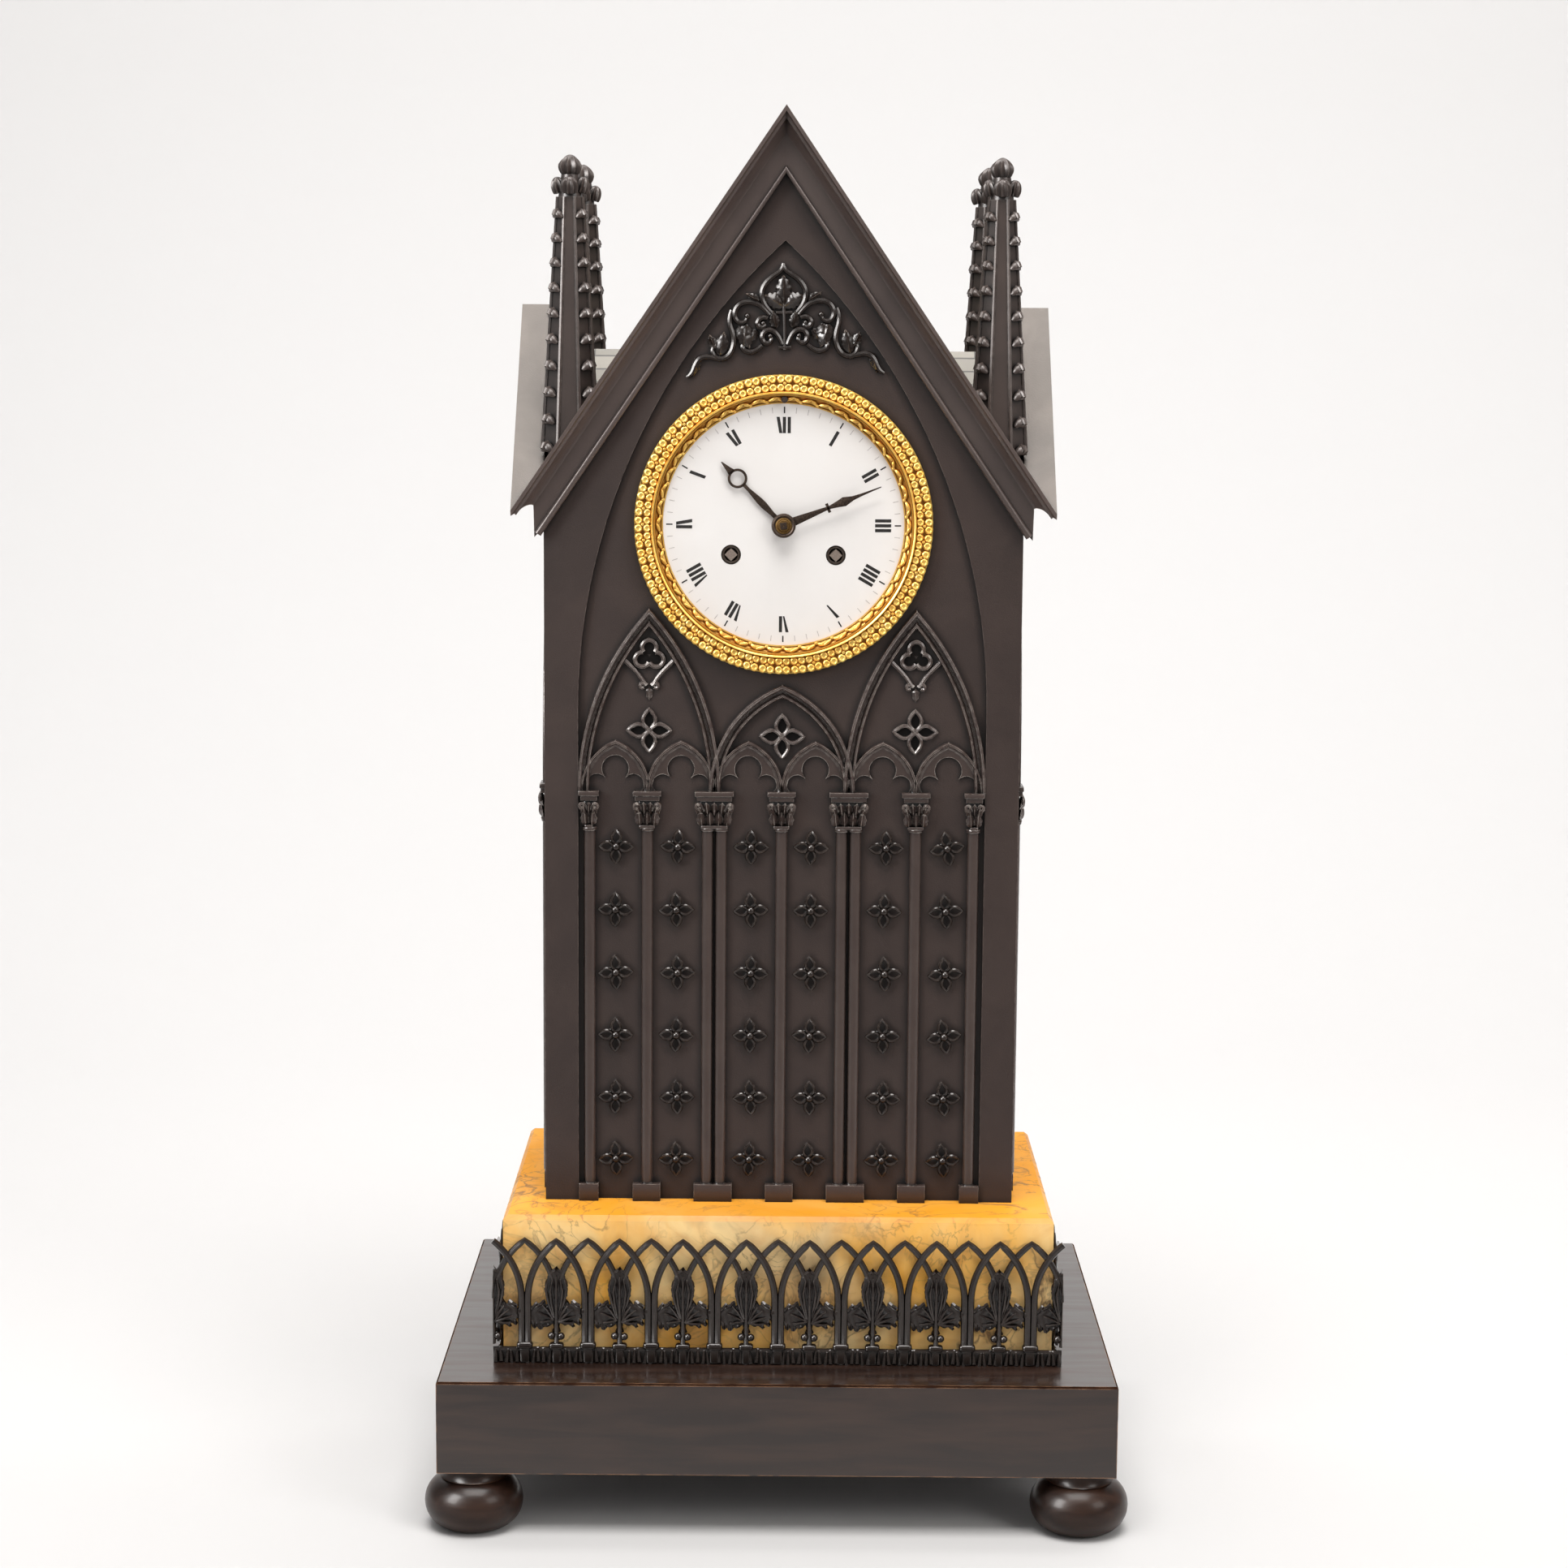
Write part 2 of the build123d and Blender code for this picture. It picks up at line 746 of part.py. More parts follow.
# Scrolled ornament over the dial: a pointed cartouche between chains of volutes
ornament_foot = dial_z + ornament_rise
volutes = [(7.2, 4.0, 5.2), (16.5, 10.5, 7.6), (24.5, 1.0, 5.6), (32.0, -4.8, 4.5)]
volute_wire = 2.4
ornament_relief = 2.6
cartouche_half = 8.6
cartouche_rise = 21.0
cartouche_lift = 10.5
tie_lift = 8.5
cartouche = lancet_band(cartouche_half, cartouche_rise, volute_wire)
with BuildPart() as gable_ornament:
    with BuildSketch(front(panel_front)):
        with Locations((0, ornament_foot + cartouche_lift)):
            add(cartouche)
        for side in (-1, 1):
            for x, z, radius in volutes:
                with Locations((side * x, ornament_foot + z)):
                    Circle(radius)
        for side in (-1, 1):
            for x, z, radius in volutes:
                with Locations((side * x, ornament_foot + z)):
                    Circle(radius - volute_wire, mode=Mode.SUBTRACT)
        with Locations((0, ornament_foot + tie_lift)):
            Rectangle(2 * cartouche_half, volute_wire * 2)
    extrude(amount=ornament_relief)
save(gable_ornament, "gable_ornament")

# Blind arcade on each flank: three columns and two lancets
side_columns = [case_middle - bay_pitch, case_middle, case_middle + bay_pitch]
side_bay = lancet_band(bay_pitch / 2, big_arch_rise, arch_band)
with BuildPart() as right_arcade:
    with BuildSketch(Plane.XY.offset(column_bottom)):
        with Locations(*[(half_width + shaft_stand, y) for y in side_columns]):
            Circle(shaft_diameter / 2)
    extrude(amount=shaft_top - column_bottom)
    split(bisect_by=flank(half_width), keep=Keep.TOP)
    with BuildSketch(Plane.XY.offset(case_bottom)):
        with Locations(*[(half_width + side_reach / 2, y) for y in side_columns]):
            Rectangle(side_reach, column_foot_width)
    extrude(amount=column_foot)
    with BuildSketch(Plane.XY.offset(shaft_top)):
        with Locations(*[(half_width + side_reach / 2, y) for y in side_columns]):
            Rectangle(side_reach, capital_width)
    extrude(amount=capital_height)
    with BuildSketch(flank(half_width)):
        for y in (case_middle - bay_pitch / 2, case_middle + bay_pitch / 2):
            with Locations((y, capital_top)):
                add(side_bay)
    extrude(amount=side_relief)
with BuildPart() as side_arcades:
    add(right_arcade.part)
    add(right_arcade.part.mirror(Plane.YZ))
save(side_arcades, "side_arcades")

# Dial, its backing ring and the two rings of the bezel, turned about the hand arbor
dial_axis = Axis((0, 0, dial_z), (0, 1, 0))
dial_plane = Plane.XY.offset(dial_z)
winding_x = winding_spread / 2
winding_z = dial_z - winding_drop
regulator_z = dial_z + regulator_rise
regulator_hole = regulator_diameter / 2 + running
hand_hole = 4.2
dial_rim = 0.7
dial_flat = slip_inner - dial_rim
dome_share = 0.6
dome_middle = (dial_flat * dome_share, dial_face - dial_dome * (1 - dome_share**2))
with BuildPart() as dial:
    with BuildSketch(dial_plane):
        with BuildLine():
            Polyline((0, dial_face - dial_dome), (0, dial_back), (dial_radius, dial_back),
                     (dial_radius, dial_face), (dial_flat, dial_face))
            ThreePointArc((dial_flat, dial_face), dome_middle, (0, dial_face - dial_dome))
        make_face()
    revolve(axis=dial_axis)
    with BuildSketch(front(dial_back)):
        with Locations((-winding_x, winding_z), (winding_x, winding_z)):
            Circle(winding_hole / 2)
        with Locations((0, dial_z)):
            Circle(hand_hole)
        with Locations((0, regulator_z)):
            Circle(regulator_hole)
    extrude(amount=dial_thick + dial_dome, mode=Mode.SUBTRACT)
save(dial, "dial")

bezel_inner_top = (bezel_inner, panel_front - bezel_relief * bezel_inner_share)
bezel_outer_top = (bezel_outer, panel_front - bezel_relief * bezel_outer_share)
bezel_crest = ((bezel_inner + bezel_outer) / 2, panel_front - bezel_relief)
with BuildPart() as bezel:
    with BuildSketch(dial_plane):
        with BuildLine():
            Polyline(bezel_inner_top, (bezel_inner, panel_front), (bezel_outer, panel_front),
                     bezel_outer_top)
            ThreePointArc(bezel_outer_top, bezel_crest, bezel_inner_top)
        make_face()
    revolve(axis=dial_axis)
save(bezel, "bezel")

slip_outer = bezel_inner - slip_gap
with BuildPart() as bezel_slip:
    with BuildSketch(dial_plane):
        with BuildLine():
            Polyline((slip_inner, dial_face), (slip_outer, dial_face), (slip_outer, dial_face - slip_relief),
                     (slip_inner, dial_face - slip_relief * slip_edge_share), close=True)
        make_face()
    revolve(axis=dial_axis)
    with BuildSketch(front(dial_face)):
        with Locations((0, regulator_z)):
            Rectangle(notch_width, notch_width)
    extrude(amount=slip_relief, mode=Mode.SUBTRACT)
save(bezel_slip, "bezel_slip")

ring_inner = 30.0
ring_post = 5.0
ring_post_orbit = 40.0
ring_back = dial_back + dial_ring_thick
with BuildPart() as dial_ring:
    with BuildSketch(front(ring_back)):
        with Locations((0, dial_z)):
            Circle(dial_radius)
            Circle(ring_inner, mode=Mode.SUBTRACT)
        with Locations((0, regulator_z)):
            Circle(regulator_hole, mode=Mode.SUBTRACT)
    extrude(amount=dial_ring_thick)
    with BuildSketch(front(plate_front)):
        with Locations((0, dial_z)):
            with PolarLocations(ring_post_orbit, 3, start_angle=90):
                Circle(ring_post / 2)
    extrude(amount=dial_post)
save(dial_ring, "dial_ring")


# Hands, drawn upright and turned to the hour they show
def hand_plane(y, angle):
    turn = radians(angle)
    return Plane(origin=(0, y, dial_z), x_dir=(cos(turn), 0, sin(turn)), z_dir=(0, -1, 0))


cannon_outer = 1.8
pipe_inner = cannon_outer + running
pipe_outer = 2.6
push_fit = 0.02
hour_level = dial_face - dial_dome - hand_clearance
minute_level = hour_level - hand_thick - hand_gap
collet_radius = 4.75
collet_thick = 1.4
collet_overhang = 0.4
collet_edge = 0.6
hand_front = minute_level - hand_thick
collet_front = hand_front - collet_thick
arbor_proud = 0.5
moon_height = hour_reach - 8.9
moon_radius = 3.7
moon_wall = 0.75
moon_overlap = 0.3
hand_boss = 1.4
moon_top = moon_height + moon_radius
moon_foot = moon_height - moon_radius + moon_overlap
stem_belly = 12.4
stem_points = [(0.8, 0), (1.25, stem_belly), (0.6, moon_foot)]
tip_half = 1.3
with BuildPart() as hour_hand:
    with BuildSketch(hand_plane(hour_level, hour_angle)):
        with BuildLine():
            Polyline(*stem_points, *[(-x, z) for x, z in reversed(stem_points)], close=True)
        make_face()
        with BuildLine():
            Polyline((-tip_half, moon_top - moon_overlap), (0, hour_reach),
                     (tip_half, moon_top - moon_overlap), close=True)
        make_face()
        with Locations((0, moon_height)):
            Circle(moon_radius)
            Circle(moon_radius - moon_wall, mode=Mode.SUBTRACT)
        Circle(pipe_outer + hand_boss)
        Circle(pipe_outer + push_fit, mode=Mode.SUBTRACT)
    extrude(amount=hand_thick)
save(hour_hand, "hour_hand")

crossbar = 18.7
crossbar_size = (3.5, 1.0)
blade_points = [(1.6, 0), (0.7, crossbar), (1.7, 25.5), (0.45, 31.0)]
with BuildPart() as minute_hand:
    with BuildSketch(hand_plane(minute_level, minute_angle)):
        with BuildLine():
            Polyline(*blade_points, (0, minute_reach), *[(-x, z) for x, z in reversed(blade_points)],
                     close=True)
        make_face()
        with Locations((0, crossbar)):
            Rectangle(*crossbar_size)
        Circle(collet_radius - collet_overhang)
        Circle(cannon_outer + push_fit, mode=Mode.SUBTRACT)
    extrude(amount=hand_thick)
save(minute_hand, "minute_hand")

centre_bore = centre_arbor / 2 + running
with BuildPart() as hand_collet:
    with BuildSketch(front(hand_front)):
        with Locations((0, dial_z)):
            Circle(collet_radius)
            Circle(centre_bore, mode=Mode.SUBTRACT)
    extrude(amount=collet_thick)
    chamfer(hand_collet.faces().sort_by(Axis.Y)[0].edges().sort_by(SortBy.RADIUS)[-1], collet_edge)
save(hand_collet, "hand_collet")


# Arbor places, from the centre distances of the wheels that mesh
def mesh_distance(wheel, leaves, module):
    return module * (wheel + leaves) / 2


def meet(first, first_reach, second, second_reach, side):
    span = hypot(second[0] - first[0], second[1] - first[1])
    along = (first_reach**2 - second_reach**2 + span**2) / (2 * span)
    across = side * sqrt(first_reach**2 - along**2)
    ux = (second[0] - first[0]) / span
    uz = (second[1] - first[1]) / span
    return (first[0] + along * ux - across * uz, first[1] + along * uz + across * ux)


def bearing(start, end):
    return atan2(end[1] - start[1], end[0] - start[0])


great_distance = mesh_distance(great_teeth, second_leaves, great_module)
second_distance = mesh_distance(second_teeth, centre_leaves, second_module)
centre_distance = mesh_distance(centre_teeth, third_leaves, centre_module)
third_distance = mesh_distance(third_teeth, escape_leaves, third_module)
pin_distance = mesh_distance(pin_teeth, fly_leaves, pin_module)
motion_distance = mesh_distance(minute_teeth, cannon_leaves, cannon_module)
escape_rise = 22.5
anchor_rise = 12.0
pin_bearing = radians(100)
fly_bearing = radians(75)
going_spot = (winding_x, winding_z)
strike_spot = (-winding_x, winding_z)
centre_spot = (0, dial_z)
escape_spot = (0, dial_z + escape_rise)
anchor_spot = (0, escape_spot[1] + anchor_rise)
second_spot = meet(going_spot, great_distance, centre_spot, second_distance, -1)
third_spot = meet(centre_spot, centre_distance, escape_spot, third_distance, 1)
pin_spot = (strike_spot[0] + great_distance * cos(pin_bearing),
            strike_spot[1] + great_distance * sin(pin_bearing))
fly_spot = (pin_spot[0] + pin_distance * cos(fly_bearing),
            pin_spot[1] + pin_distance * sin(fly_bearing))
minute_spot = (0, dial_z - motion_distance)

# Levels between the plates, counted back from the front plate
barrel_level = 4.0
second_level_back = 3.4
centre_level_front = 2.3
third_level_front = 13.2
escape_level_front = 22.2
count_clearance = 1.2
hammer_clearance = 0.5
inner_front = plate_front + plate_thick
plate_rear = plate_back + plate_thick
barrel_front = inner_front + barrel_level
barrel_rear = barrel_front + barrel_length
great_rear = barrel_rear + wheel_thick
second_rear = plate_back - second_level_back
centre_rear = inner_front + centre_level_front
third_rear = inner_front + third_level_front
escape_rear = inner_front + escape_level_front
leaf_over = 0.4
pivot = thin_arbor / 2
pivot_hole = pivot + running
sleeve_radius = 3.0
count_radius = 15.0
count_front = plate_rear + count_clearance
count_rear = count_front + wheel_thick
stud_radius = 1.5
hammer_x = -34.0
hammer_drop = 24.0
hammer_spot = (hammer_x, dial_z - hammer_drop)
hammer_front = count_rear + hammer_clearance

# Movement plates and the pillars between them
thin_spots = [second_spot, third_spot, escape_spot, anchor_spot, pin_spot, fly_spot]
pillar_offsets = [(38.5, 14.5), (9.0, -40.0)]
pillar_spots = [(side * x, dial_z + z) for side in (-1, 1) for x, z in pillar_offsets]
arbor_radius = arbor_diameter / 2
arbor_hole = arbor_radius + running
minute_stud = 1.0
stud_gap = 1.0
hammer_thick = 2.4
arm_play = 1.2
with BuildPart() as movement_front_plate:
    with BuildSketch(front(inner_front)):
        with Locations((0, dial_z)):
            Circle(plate_radius)
        with Locations(*thin_spots):
            Circle(pivot_hole, mode=Mode.SUBTRACT)
        with Locations(centre_spot):
            Circle(centre_bore, mode=Mode.SUBTRACT)
        with Locations(going_spot, strike_spot):
            Circle(arbor_hole, mode=Mode.SUBTRACT)
    extrude(amount=plate_thick)
    with BuildSketch(front(plate_front)):
        with Locations(minute_spot):
            Circle(minute_stud)
    extrude(amount=dial_post - stud_gap)
save(movement_front_plate, "movement_front_plate")

stud_length = hammer_front + hammer_thick + arm_play - plate_rear
with BuildPart() as movement_back_plate:
    with BuildSketch(front(plate_rear)):
        with Locations((0, dial_z)):
            Circle(plate_radius)
        with Locations(*thin_spots):
            Circle(pivot_hole, mode=Mode.SUBTRACT)
        with Locations(centre_spot):
            Circle(centre_bore, mode=Mode.SUBTRACT)
        with Locations(going_spot):
            Circle(arbor_hole, mode=Mode.SUBTRACT)
        with Locations(strike_spot):
            Circle(sleeve_radius + running, mode=Mode.SUBTRACT)
    extrude(amount=plate_thick)
    with BuildSketch(front(plate_rear)):
        with Locations(hammer_spot):
            Circle(stud_radius)
    extrude(amount=-stud_length)
save(movement_back_plate, "movement_back_plate")

with BuildPart() as plate_pillars:
    with BuildSketch(front(plate_back)):
        with Locations(*pillar_spots):
            Circle(pillar_diameter / 2)
    extrude(amount=plate_spacing)
save(plate_pillars, "plate_pillars")

strap_inset = 2.1
strap_x = dial_radius - strap_inset
strap_wide = 7.0
strap_thick = 1.5
with BuildPart() as movement_straps:
    with BuildSketch(front(inner_back)):
        with Locations((-strap_x, dial_z), (strap_x, dial_z)):
            Rectangle(strap_thick, strap_wide)
    extrude(amount=inner_back - ring_back)
save(movement_straps, "movement_straps")


# Wheels on their arbors: a list of turned lengths and a list of toothed lengths
def arbor_piece(name, spot, turned, toothed):
    with BuildPart() as piece:
        for y_rear, y_front, radius in turned:
            with BuildSketch(front(y_rear)):
                with Locations(spot):
                    Circle(radius)
            extrude(amount=y_rear - y_front)
        for y_rear, y_front, face in toothed:
            with BuildSketch(front(y_rear)):
                with Locations(spot):
                    add(face)
            extrude(amount=y_rear - y_front)
    save(piece, name)


def wheel_face(teeth, module, spot, partner, bore=0):
    return gear_face(teeth, module, bearing(spot, partner), bore)


def pinion_face(leaves, module, spot, partner, bore=0):
    return gear_face(leaves, module, bearing(spot, partner) + pi / leaves, bore)


full_arbor = [(plate_rear, plate_front, pivot)]
great_level = (great_rear, great_rear - wheel_thick)
great_leaf = (great_rear + leaf_over, great_rear - wheel_thick - leaf_over)
second_level = (second_rear, second_rear - wheel_thick)
second_leaf = (second_rear + leaf_over, second_rear - wheel_thick - leaf_over)
centre_level = (centre_rear, centre_rear - wheel_thick)
centre_leaf = (centre_rear + leaf_over, centre_rear - wheel_thick - leaf_over)
third_level = (third_rear, third_rear - wheel_thick)
third_leaf = (third_rear + leaf_over, third_rear - wheel_thick - leaf_over)
second_face = wheel_face(second_teeth, second_module, second_spot, centre_spot)
second_pinion = pinion_face(second_leaves, great_module, second_spot, going_spot)
arbor_piece("second_wheel", second_spot, full_arbor,
            [(*second_level, second_face), (*great_leaf, second_pinion)])
centre_face = wheel_face(centre_teeth, centre_module, centre_spot, third_spot)
centre_pinion = pinion_face(centre_leaves, second_module, centre_spot, second_spot)
arbor_piece("centre_wheel", centre_spot, [(plate_rear, collet_front - arbor_proud, centre_arbor / 2)],
            [(*centre_level, centre_face), (*second_leaf, centre_pinion)])
third_face = wheel_face(third_teeth, third_module, third_spot, escape_spot)
third_pinion = pinion_face(third_leaves, centre_module, third_spot, centre_spot)
arbor_piece("third_wheel", third_spot, full_arbor,
            [(*third_level, third_face), (*centre_leaf, third_pinion)])
escape_module = 2 * escape_radius / (escape_teeth + 2 * addendum)
escape_face = wheel_face(escape_teeth, escape_module, escape_spot, anchor_spot)
escape_pinion = pinion_face(escape_leaves, third_module, escape_spot, third_spot)
arbor_piece("escape_wheel", escape_spot, full_arbor,
            [(escape_rear, escape_rear - wheel_thick, escape_face), (*third_leaf, escape_pinion)])
pin_face = wheel_face(pin_teeth, pin_module, pin_spot, fly_spot)
pin_pinion = pinion_face(second_leaves, great_module, pin_spot, strike_spot)
arbor_piece("pin_wheel", pin_spot, full_arbor, [(*second_level, pin_face), (*great_leaf, pin_pinion)])

fly_pinion = pinion_face(fly_leaves, pin_module, fly_spot, pin_spot)
vane_reach = 8.0
vane_rear = inner_front + 20.0
vane_length = 14.0
with BuildSketch() as vane:
    Rectangle(2 * vane_reach, pivot)
arbor_piece("fly", fly_spot, full_arbor,
            [(*second_leaf, fly_pinion), (vane_rear, vane_rear - vane_length, vane.sketch)])

# Spring barrels: the strike's carries the count wheel behind the back plate
total_strokes = sum(range(1, 13))
strokes = [sum(range(1, hour + 1)) for hour in range(1, 13)]
notch_deep = 2.4
notch_wide = 1.6
with BuildSketch() as count_face:
    Circle(count_radius)
    for stroke in strokes:
        with PolarLocations(count_radius, 1, start_angle=360 * stroke / total_strokes):
            Rectangle(2 * notch_deep, notch_wide, mode=Mode.SUBTRACT)
    Circle(arbor_hole, mode=Mode.SUBTRACT)
with BuildSketch() as drum_face:
    Circle(barrel_radius)
    Circle(arbor_hole, mode=Mode.SUBTRACT)
with BuildSketch() as sleeve_face:
    Circle(sleeve_radius)
    Circle(arbor_hole, mode=Mode.SUBTRACT)
drum = (barrel_rear, barrel_front, drum_face.sketch)
going_face = wheel_face(great_teeth, great_module, going_spot, second_spot, arbor_hole)
strike_face = wheel_face(great_teeth, great_module, strike_spot, pin_spot, arbor_hole)
arbor_piece("going_barrel", going_spot, [], [drum, (*great_level, going_face)])
arbor_piece("strike_barrel", strike_spot, [],
            [drum, (*great_level, strike_face), (count_rear, great_rear, sleeve_face.sketch),
             (count_rear, count_front, count_face.sketch)])

# Winding arbors with squared ends behind the dial's holes
square_proud = 0.2
square_front = dial_face - dial_dome - square_proud
square_side = 3.5
going_tail = 0.6
strike_tail = 0.4
with BuildSketch() as key_square:
    Rectangle(square_side, square_side, rotation=45)
for name, spot, rear in (("going_arbor", going_spot, plate_rear + going_tail),
                         ("strike_arbor", strike_spot, count_rear + strike_tail)):
    arbor_piece(name, spot, [(rear, dial_back, arbor_radius)],
                [(dial_back, square_front, key_square.sketch)])

# Motion work behind the dial
motion_clearance = 0.8
motion_step = 1.2
cannon_over = 0.3
cannon_tail = 0.5
pipe_tail = 0.6
motion_rear = plate_front - motion_clearance
hour_rear = motion_rear - wheel_thick - motion_step
with BuildSketch() as cannon_tube:
    Circle(cannon_outer)
    Circle(centre_bore, mode=Mode.SUBTRACT)
cannon_face = pinion_face(cannon_leaves, cannon_module, centre_spot, minute_spot, centre_bore)
arbor_piece("cannon_pinion", centre_spot, [],
            [(motion_rear + cannon_tail, hand_front, cannon_tube.sketch),
             (motion_rear + cannon_over, motion_rear - wheel_thick - cannon_over, cannon_face)])
stud_bore = minute_stud + running
minute_face = wheel_face(minute_teeth, cannon_module, minute_spot, centre_spot, stud_bore)
minute_pinion = pinion_face(minute_leaves, hour_module, minute_spot, centre_spot, stud_bore)
arbor_piece("minute_wheel", minute_spot, [],
            [(motion_rear, motion_rear - wheel_thick, minute_face),
             (motion_rear - wheel_thick, hour_rear - wheel_thick - leaf_over, minute_pinion)])
with BuildSketch() as pipe_face:
    Circle(pipe_outer)
    Circle(pipe_inner, mode=Mode.SUBTRACT)
hour_face = wheel_face(hour_teeth, hour_module, centre_spot, minute_spot, pipe_inner)
arbor_piece("hour_wheel", centre_spot, [],
            [(hour_rear, hour_rear - wheel_thick, hour_face),
             (hour_rear + pipe_tail, hour_level - hand_thick, pipe_face.sketch)])

# Anchor: pallet arms over the escape wheel, and the crutch behind the plate
pallet_gap = 1.05
pallet_wide = 2.0
anchor_boss = 2.2
anchor_inner = escape_radius + pallet_gap
anchor_outer = anchor_inner + pallet_wide
anchor_spread = 50.0
pallet_height = anchor_outer * cos(radians(anchor_spread))
rod_radius = 1.1
crutch_gap = 1.6
crutch_thick = 1.4
crutch_wide = 1.6
crutch_boss = 2.6
fork_tall = 2.4
crutch_front = plate_rear + crutch_gap
crutch_rear = crutch_front + crutch_thick
crutch_length = 34.0
rod_gap = 4.2
rod_y = crutch_rear + rod_gap
prong = 0.6
prong_over = 0.8
prong_x = rod_radius + shake + prong
prong_rear = rod_y + rod_radius + prong_over
fork_z = anchor_spot[1] - crutch_length
with BuildPart() as anchor:
    with BuildSketch(front(escape_rear)):
        with Locations(escape_spot):
            Circle(anchor_outer)
            Circle(anchor_inner, mode=Mode.SUBTRACT)
        with Locations((0, escape_spot[1] + (anchor_outer + pallet_height) / 2)):
            Rectangle(2 * anchor_outer, anchor_outer - pallet_height, mode=Mode.INTERSECT)
        with Locations(anchor_spot):
            Circle(anchor_boss)
    extrude(amount=wheel_thick)
    with BuildSketch(front(crutch_rear)):
        with Locations(anchor_spot):
            Circle(pivot)
    extrude(amount=crutch_rear - plate_front)
    with BuildSketch(front(crutch_rear)):
        with Locations(anchor_spot):
            Circle(crutch_boss)
        with Locations((0, anchor_spot[1] - crutch_length / 2)):
            Rectangle(crutch_wide, crutch_length)
        with Locations((0, fork_z)):
            Rectangle(2 * prong_x + 2 * prong, fork_tall)
    extrude(amount=crutch_rear - crutch_front)
    with BuildSketch(front(prong_rear)):
        for x in (-prong_x, prong_x):
            with Locations((x, fork_z)):
                Circle(prong)
    extrude(amount=prong_rear - crutch_rear)
save(anchor, "anchor")

# Back cock with the silk's lip, and the regulating arbor that winds the silk
cock_wide = 6.0
lip_clearance = 0.5
lip_half = 2.0
cock_margin = 4.0
lip_bottom = anchor_spot[1] + lip_clearance
cock_foot = anchor_spot[1] + cock_margin
arm_foot = dial_z + plate_radius + lip_clearance
cock_top = regulator_z + cock_margin
cock_rear = rod_y + cock_margin
with BuildPart() as back_cock:
    with BuildSketch(Plane.YZ):
        with BuildLine():
            Polyline((plate_rear, cock_foot), (plate_rear + plate_thick, cock_foot),
                     (plate_rear + plate_thick, arm_foot), (rod_y - lip_half, arm_foot),
                     (rod_y - lip_half, lip_bottom), (rod_y + lip_half, lip_bottom),
                     (rod_y + lip_half, arm_foot), (cock_rear, arm_foot), (cock_rear, cock_top),
                     (plate_rear, cock_top), close=True)
        make_face()
    extrude(amount=cock_wide / 2, both=True)
    with BuildSketch(front(cock_rear)):
        with Locations((0, regulator_z)):
            Circle(regulator_hole)
    extrude(amount=cock_rear - plate_rear, mode=Mode.SUBTRACT)
save(back_cock, "back_cock")

regulator_front = dial_face - slip_relief
arbor_piece("regulator_arbor", (0, regulator_z), [(cock_rear, regulator_front, regulator_diameter / 2)], [])

# Pendulum on its loop of silk
silk_radius = 0.3
silk_x = 1.4
silk_gap = 0.3
silk_length = 8.0
silk_top = lip_bottom - silk_gap
hook_top = silk_top - silk_length
hook_height = 4.0
hook_margin = 0.8
bob_z = anchor_spot[1] - pendulum_length
with BuildPart() as suspension_silk:
    with BuildSketch(Plane.XY.offset(hook_top)):
        with Locations((-silk_x, rod_y), (silk_x, rod_y)):
            Circle(silk_radius)
    extrude(amount=silk_top - hook_top)
save(suspension_silk, "suspension_silk")
with BuildPart() as pendulum_rod:
    with BuildSketch(Plane.XY.offset(hook_top - hook_height)):
        with Locations((0, rod_y)):
            Rectangle(2 * silk_x + 2 * hook_margin, 2 * rod_radius)
    extrude(amount=hook_height)
    with BuildSketch(Plane.XY.offset(bob_z + bob_radius)):
        with Locations((0, rod_y)):
            Circle(rod_radius)
    extrude(amount=hook_top - hook_height - bob_z - bob_radius)
save(pendulum_rod, "pendulum_rod")
bob_edge = 1.5
bob_share = 0.6
bulge_share = 0.34
bulge_reach = bob_radius * bob_share
bulge = bob_thick * bulge_share
socket = 1.0
with BuildPart() as pendulum_bob:
    with BuildSketch(Plane.XY.offset(bob_z)):
        with BuildLine():
            ThreePointArc((0, rod_y - bob_thick / 2), (bulge_reach, rod_y - bulge),
                          (bob_radius, rod_y - bob_edge / 2))
            Line((bob_radius, rod_y - bob_edge / 2), (bob_radius, rod_y + bob_edge / 2))
            ThreePointArc((bob_radius, rod_y + bob_edge / 2), (bulge_reach, rod_y + bulge),
                          (0, rod_y + bob_thick / 2))
            Line((0, rod_y + bob_thick / 2), (0, rod_y - bob_thick / 2))
        make_face()
    revolve(axis=Axis((0, 0, bob_z), (0, 1, 0)))
    with BuildSketch(Plane.XY.offset(bob_z + bob_radius - socket)):
        with Locations((0, rod_y)):
            Circle(rod_radius)
    extrude(amount=socket)
save(pendulum_bob, "pendulum_bob")

# Bell on its stand, and the hammer that swings against its rim
bell_offset = 18.0
bell_depth_share = 0.7
bell_mouth = plate_rear + bell_offset
bell_crown = bell_mouth + bell_radius * bell_depth_share
crown_flat = 6.0
with BuildPart() as bell:
    with BuildSketch(dial_plane):
        with BuildLine():
            Line((bell_radius - bell_wall, bell_mouth), (bell_radius, bell_mouth))
            TangentArc((crown_flat, bell_crown), (bell_radius, bell_mouth), tangent=(1, 0))
            Line((crown_flat, bell_crown), (0, bell_crown))
            Line((0, bell_crown), (0, bell_crown - bell_wall))
            Line((0, bell_crown - bell_wall), (crown_flat, bell_crown - bell_wall))
            TangentArc((crown_flat, bell_crown - bell_wall), (bell_radius - bell_wall, bell_mouth),
                       tangent=(1, 0))
        make_face()
    revolve(axis=dial_axis)
save(bell, "bell")
stand_x = 34.0
stand_drop = 22.0
stand_spot = (stand_x, dial_z - stand_drop)
stand_radius = 2.6
arm_thick = 2.6
crown_boss = 4.8
stand_turn = degrees(bearing(stand_spot, (0, dial_z)))
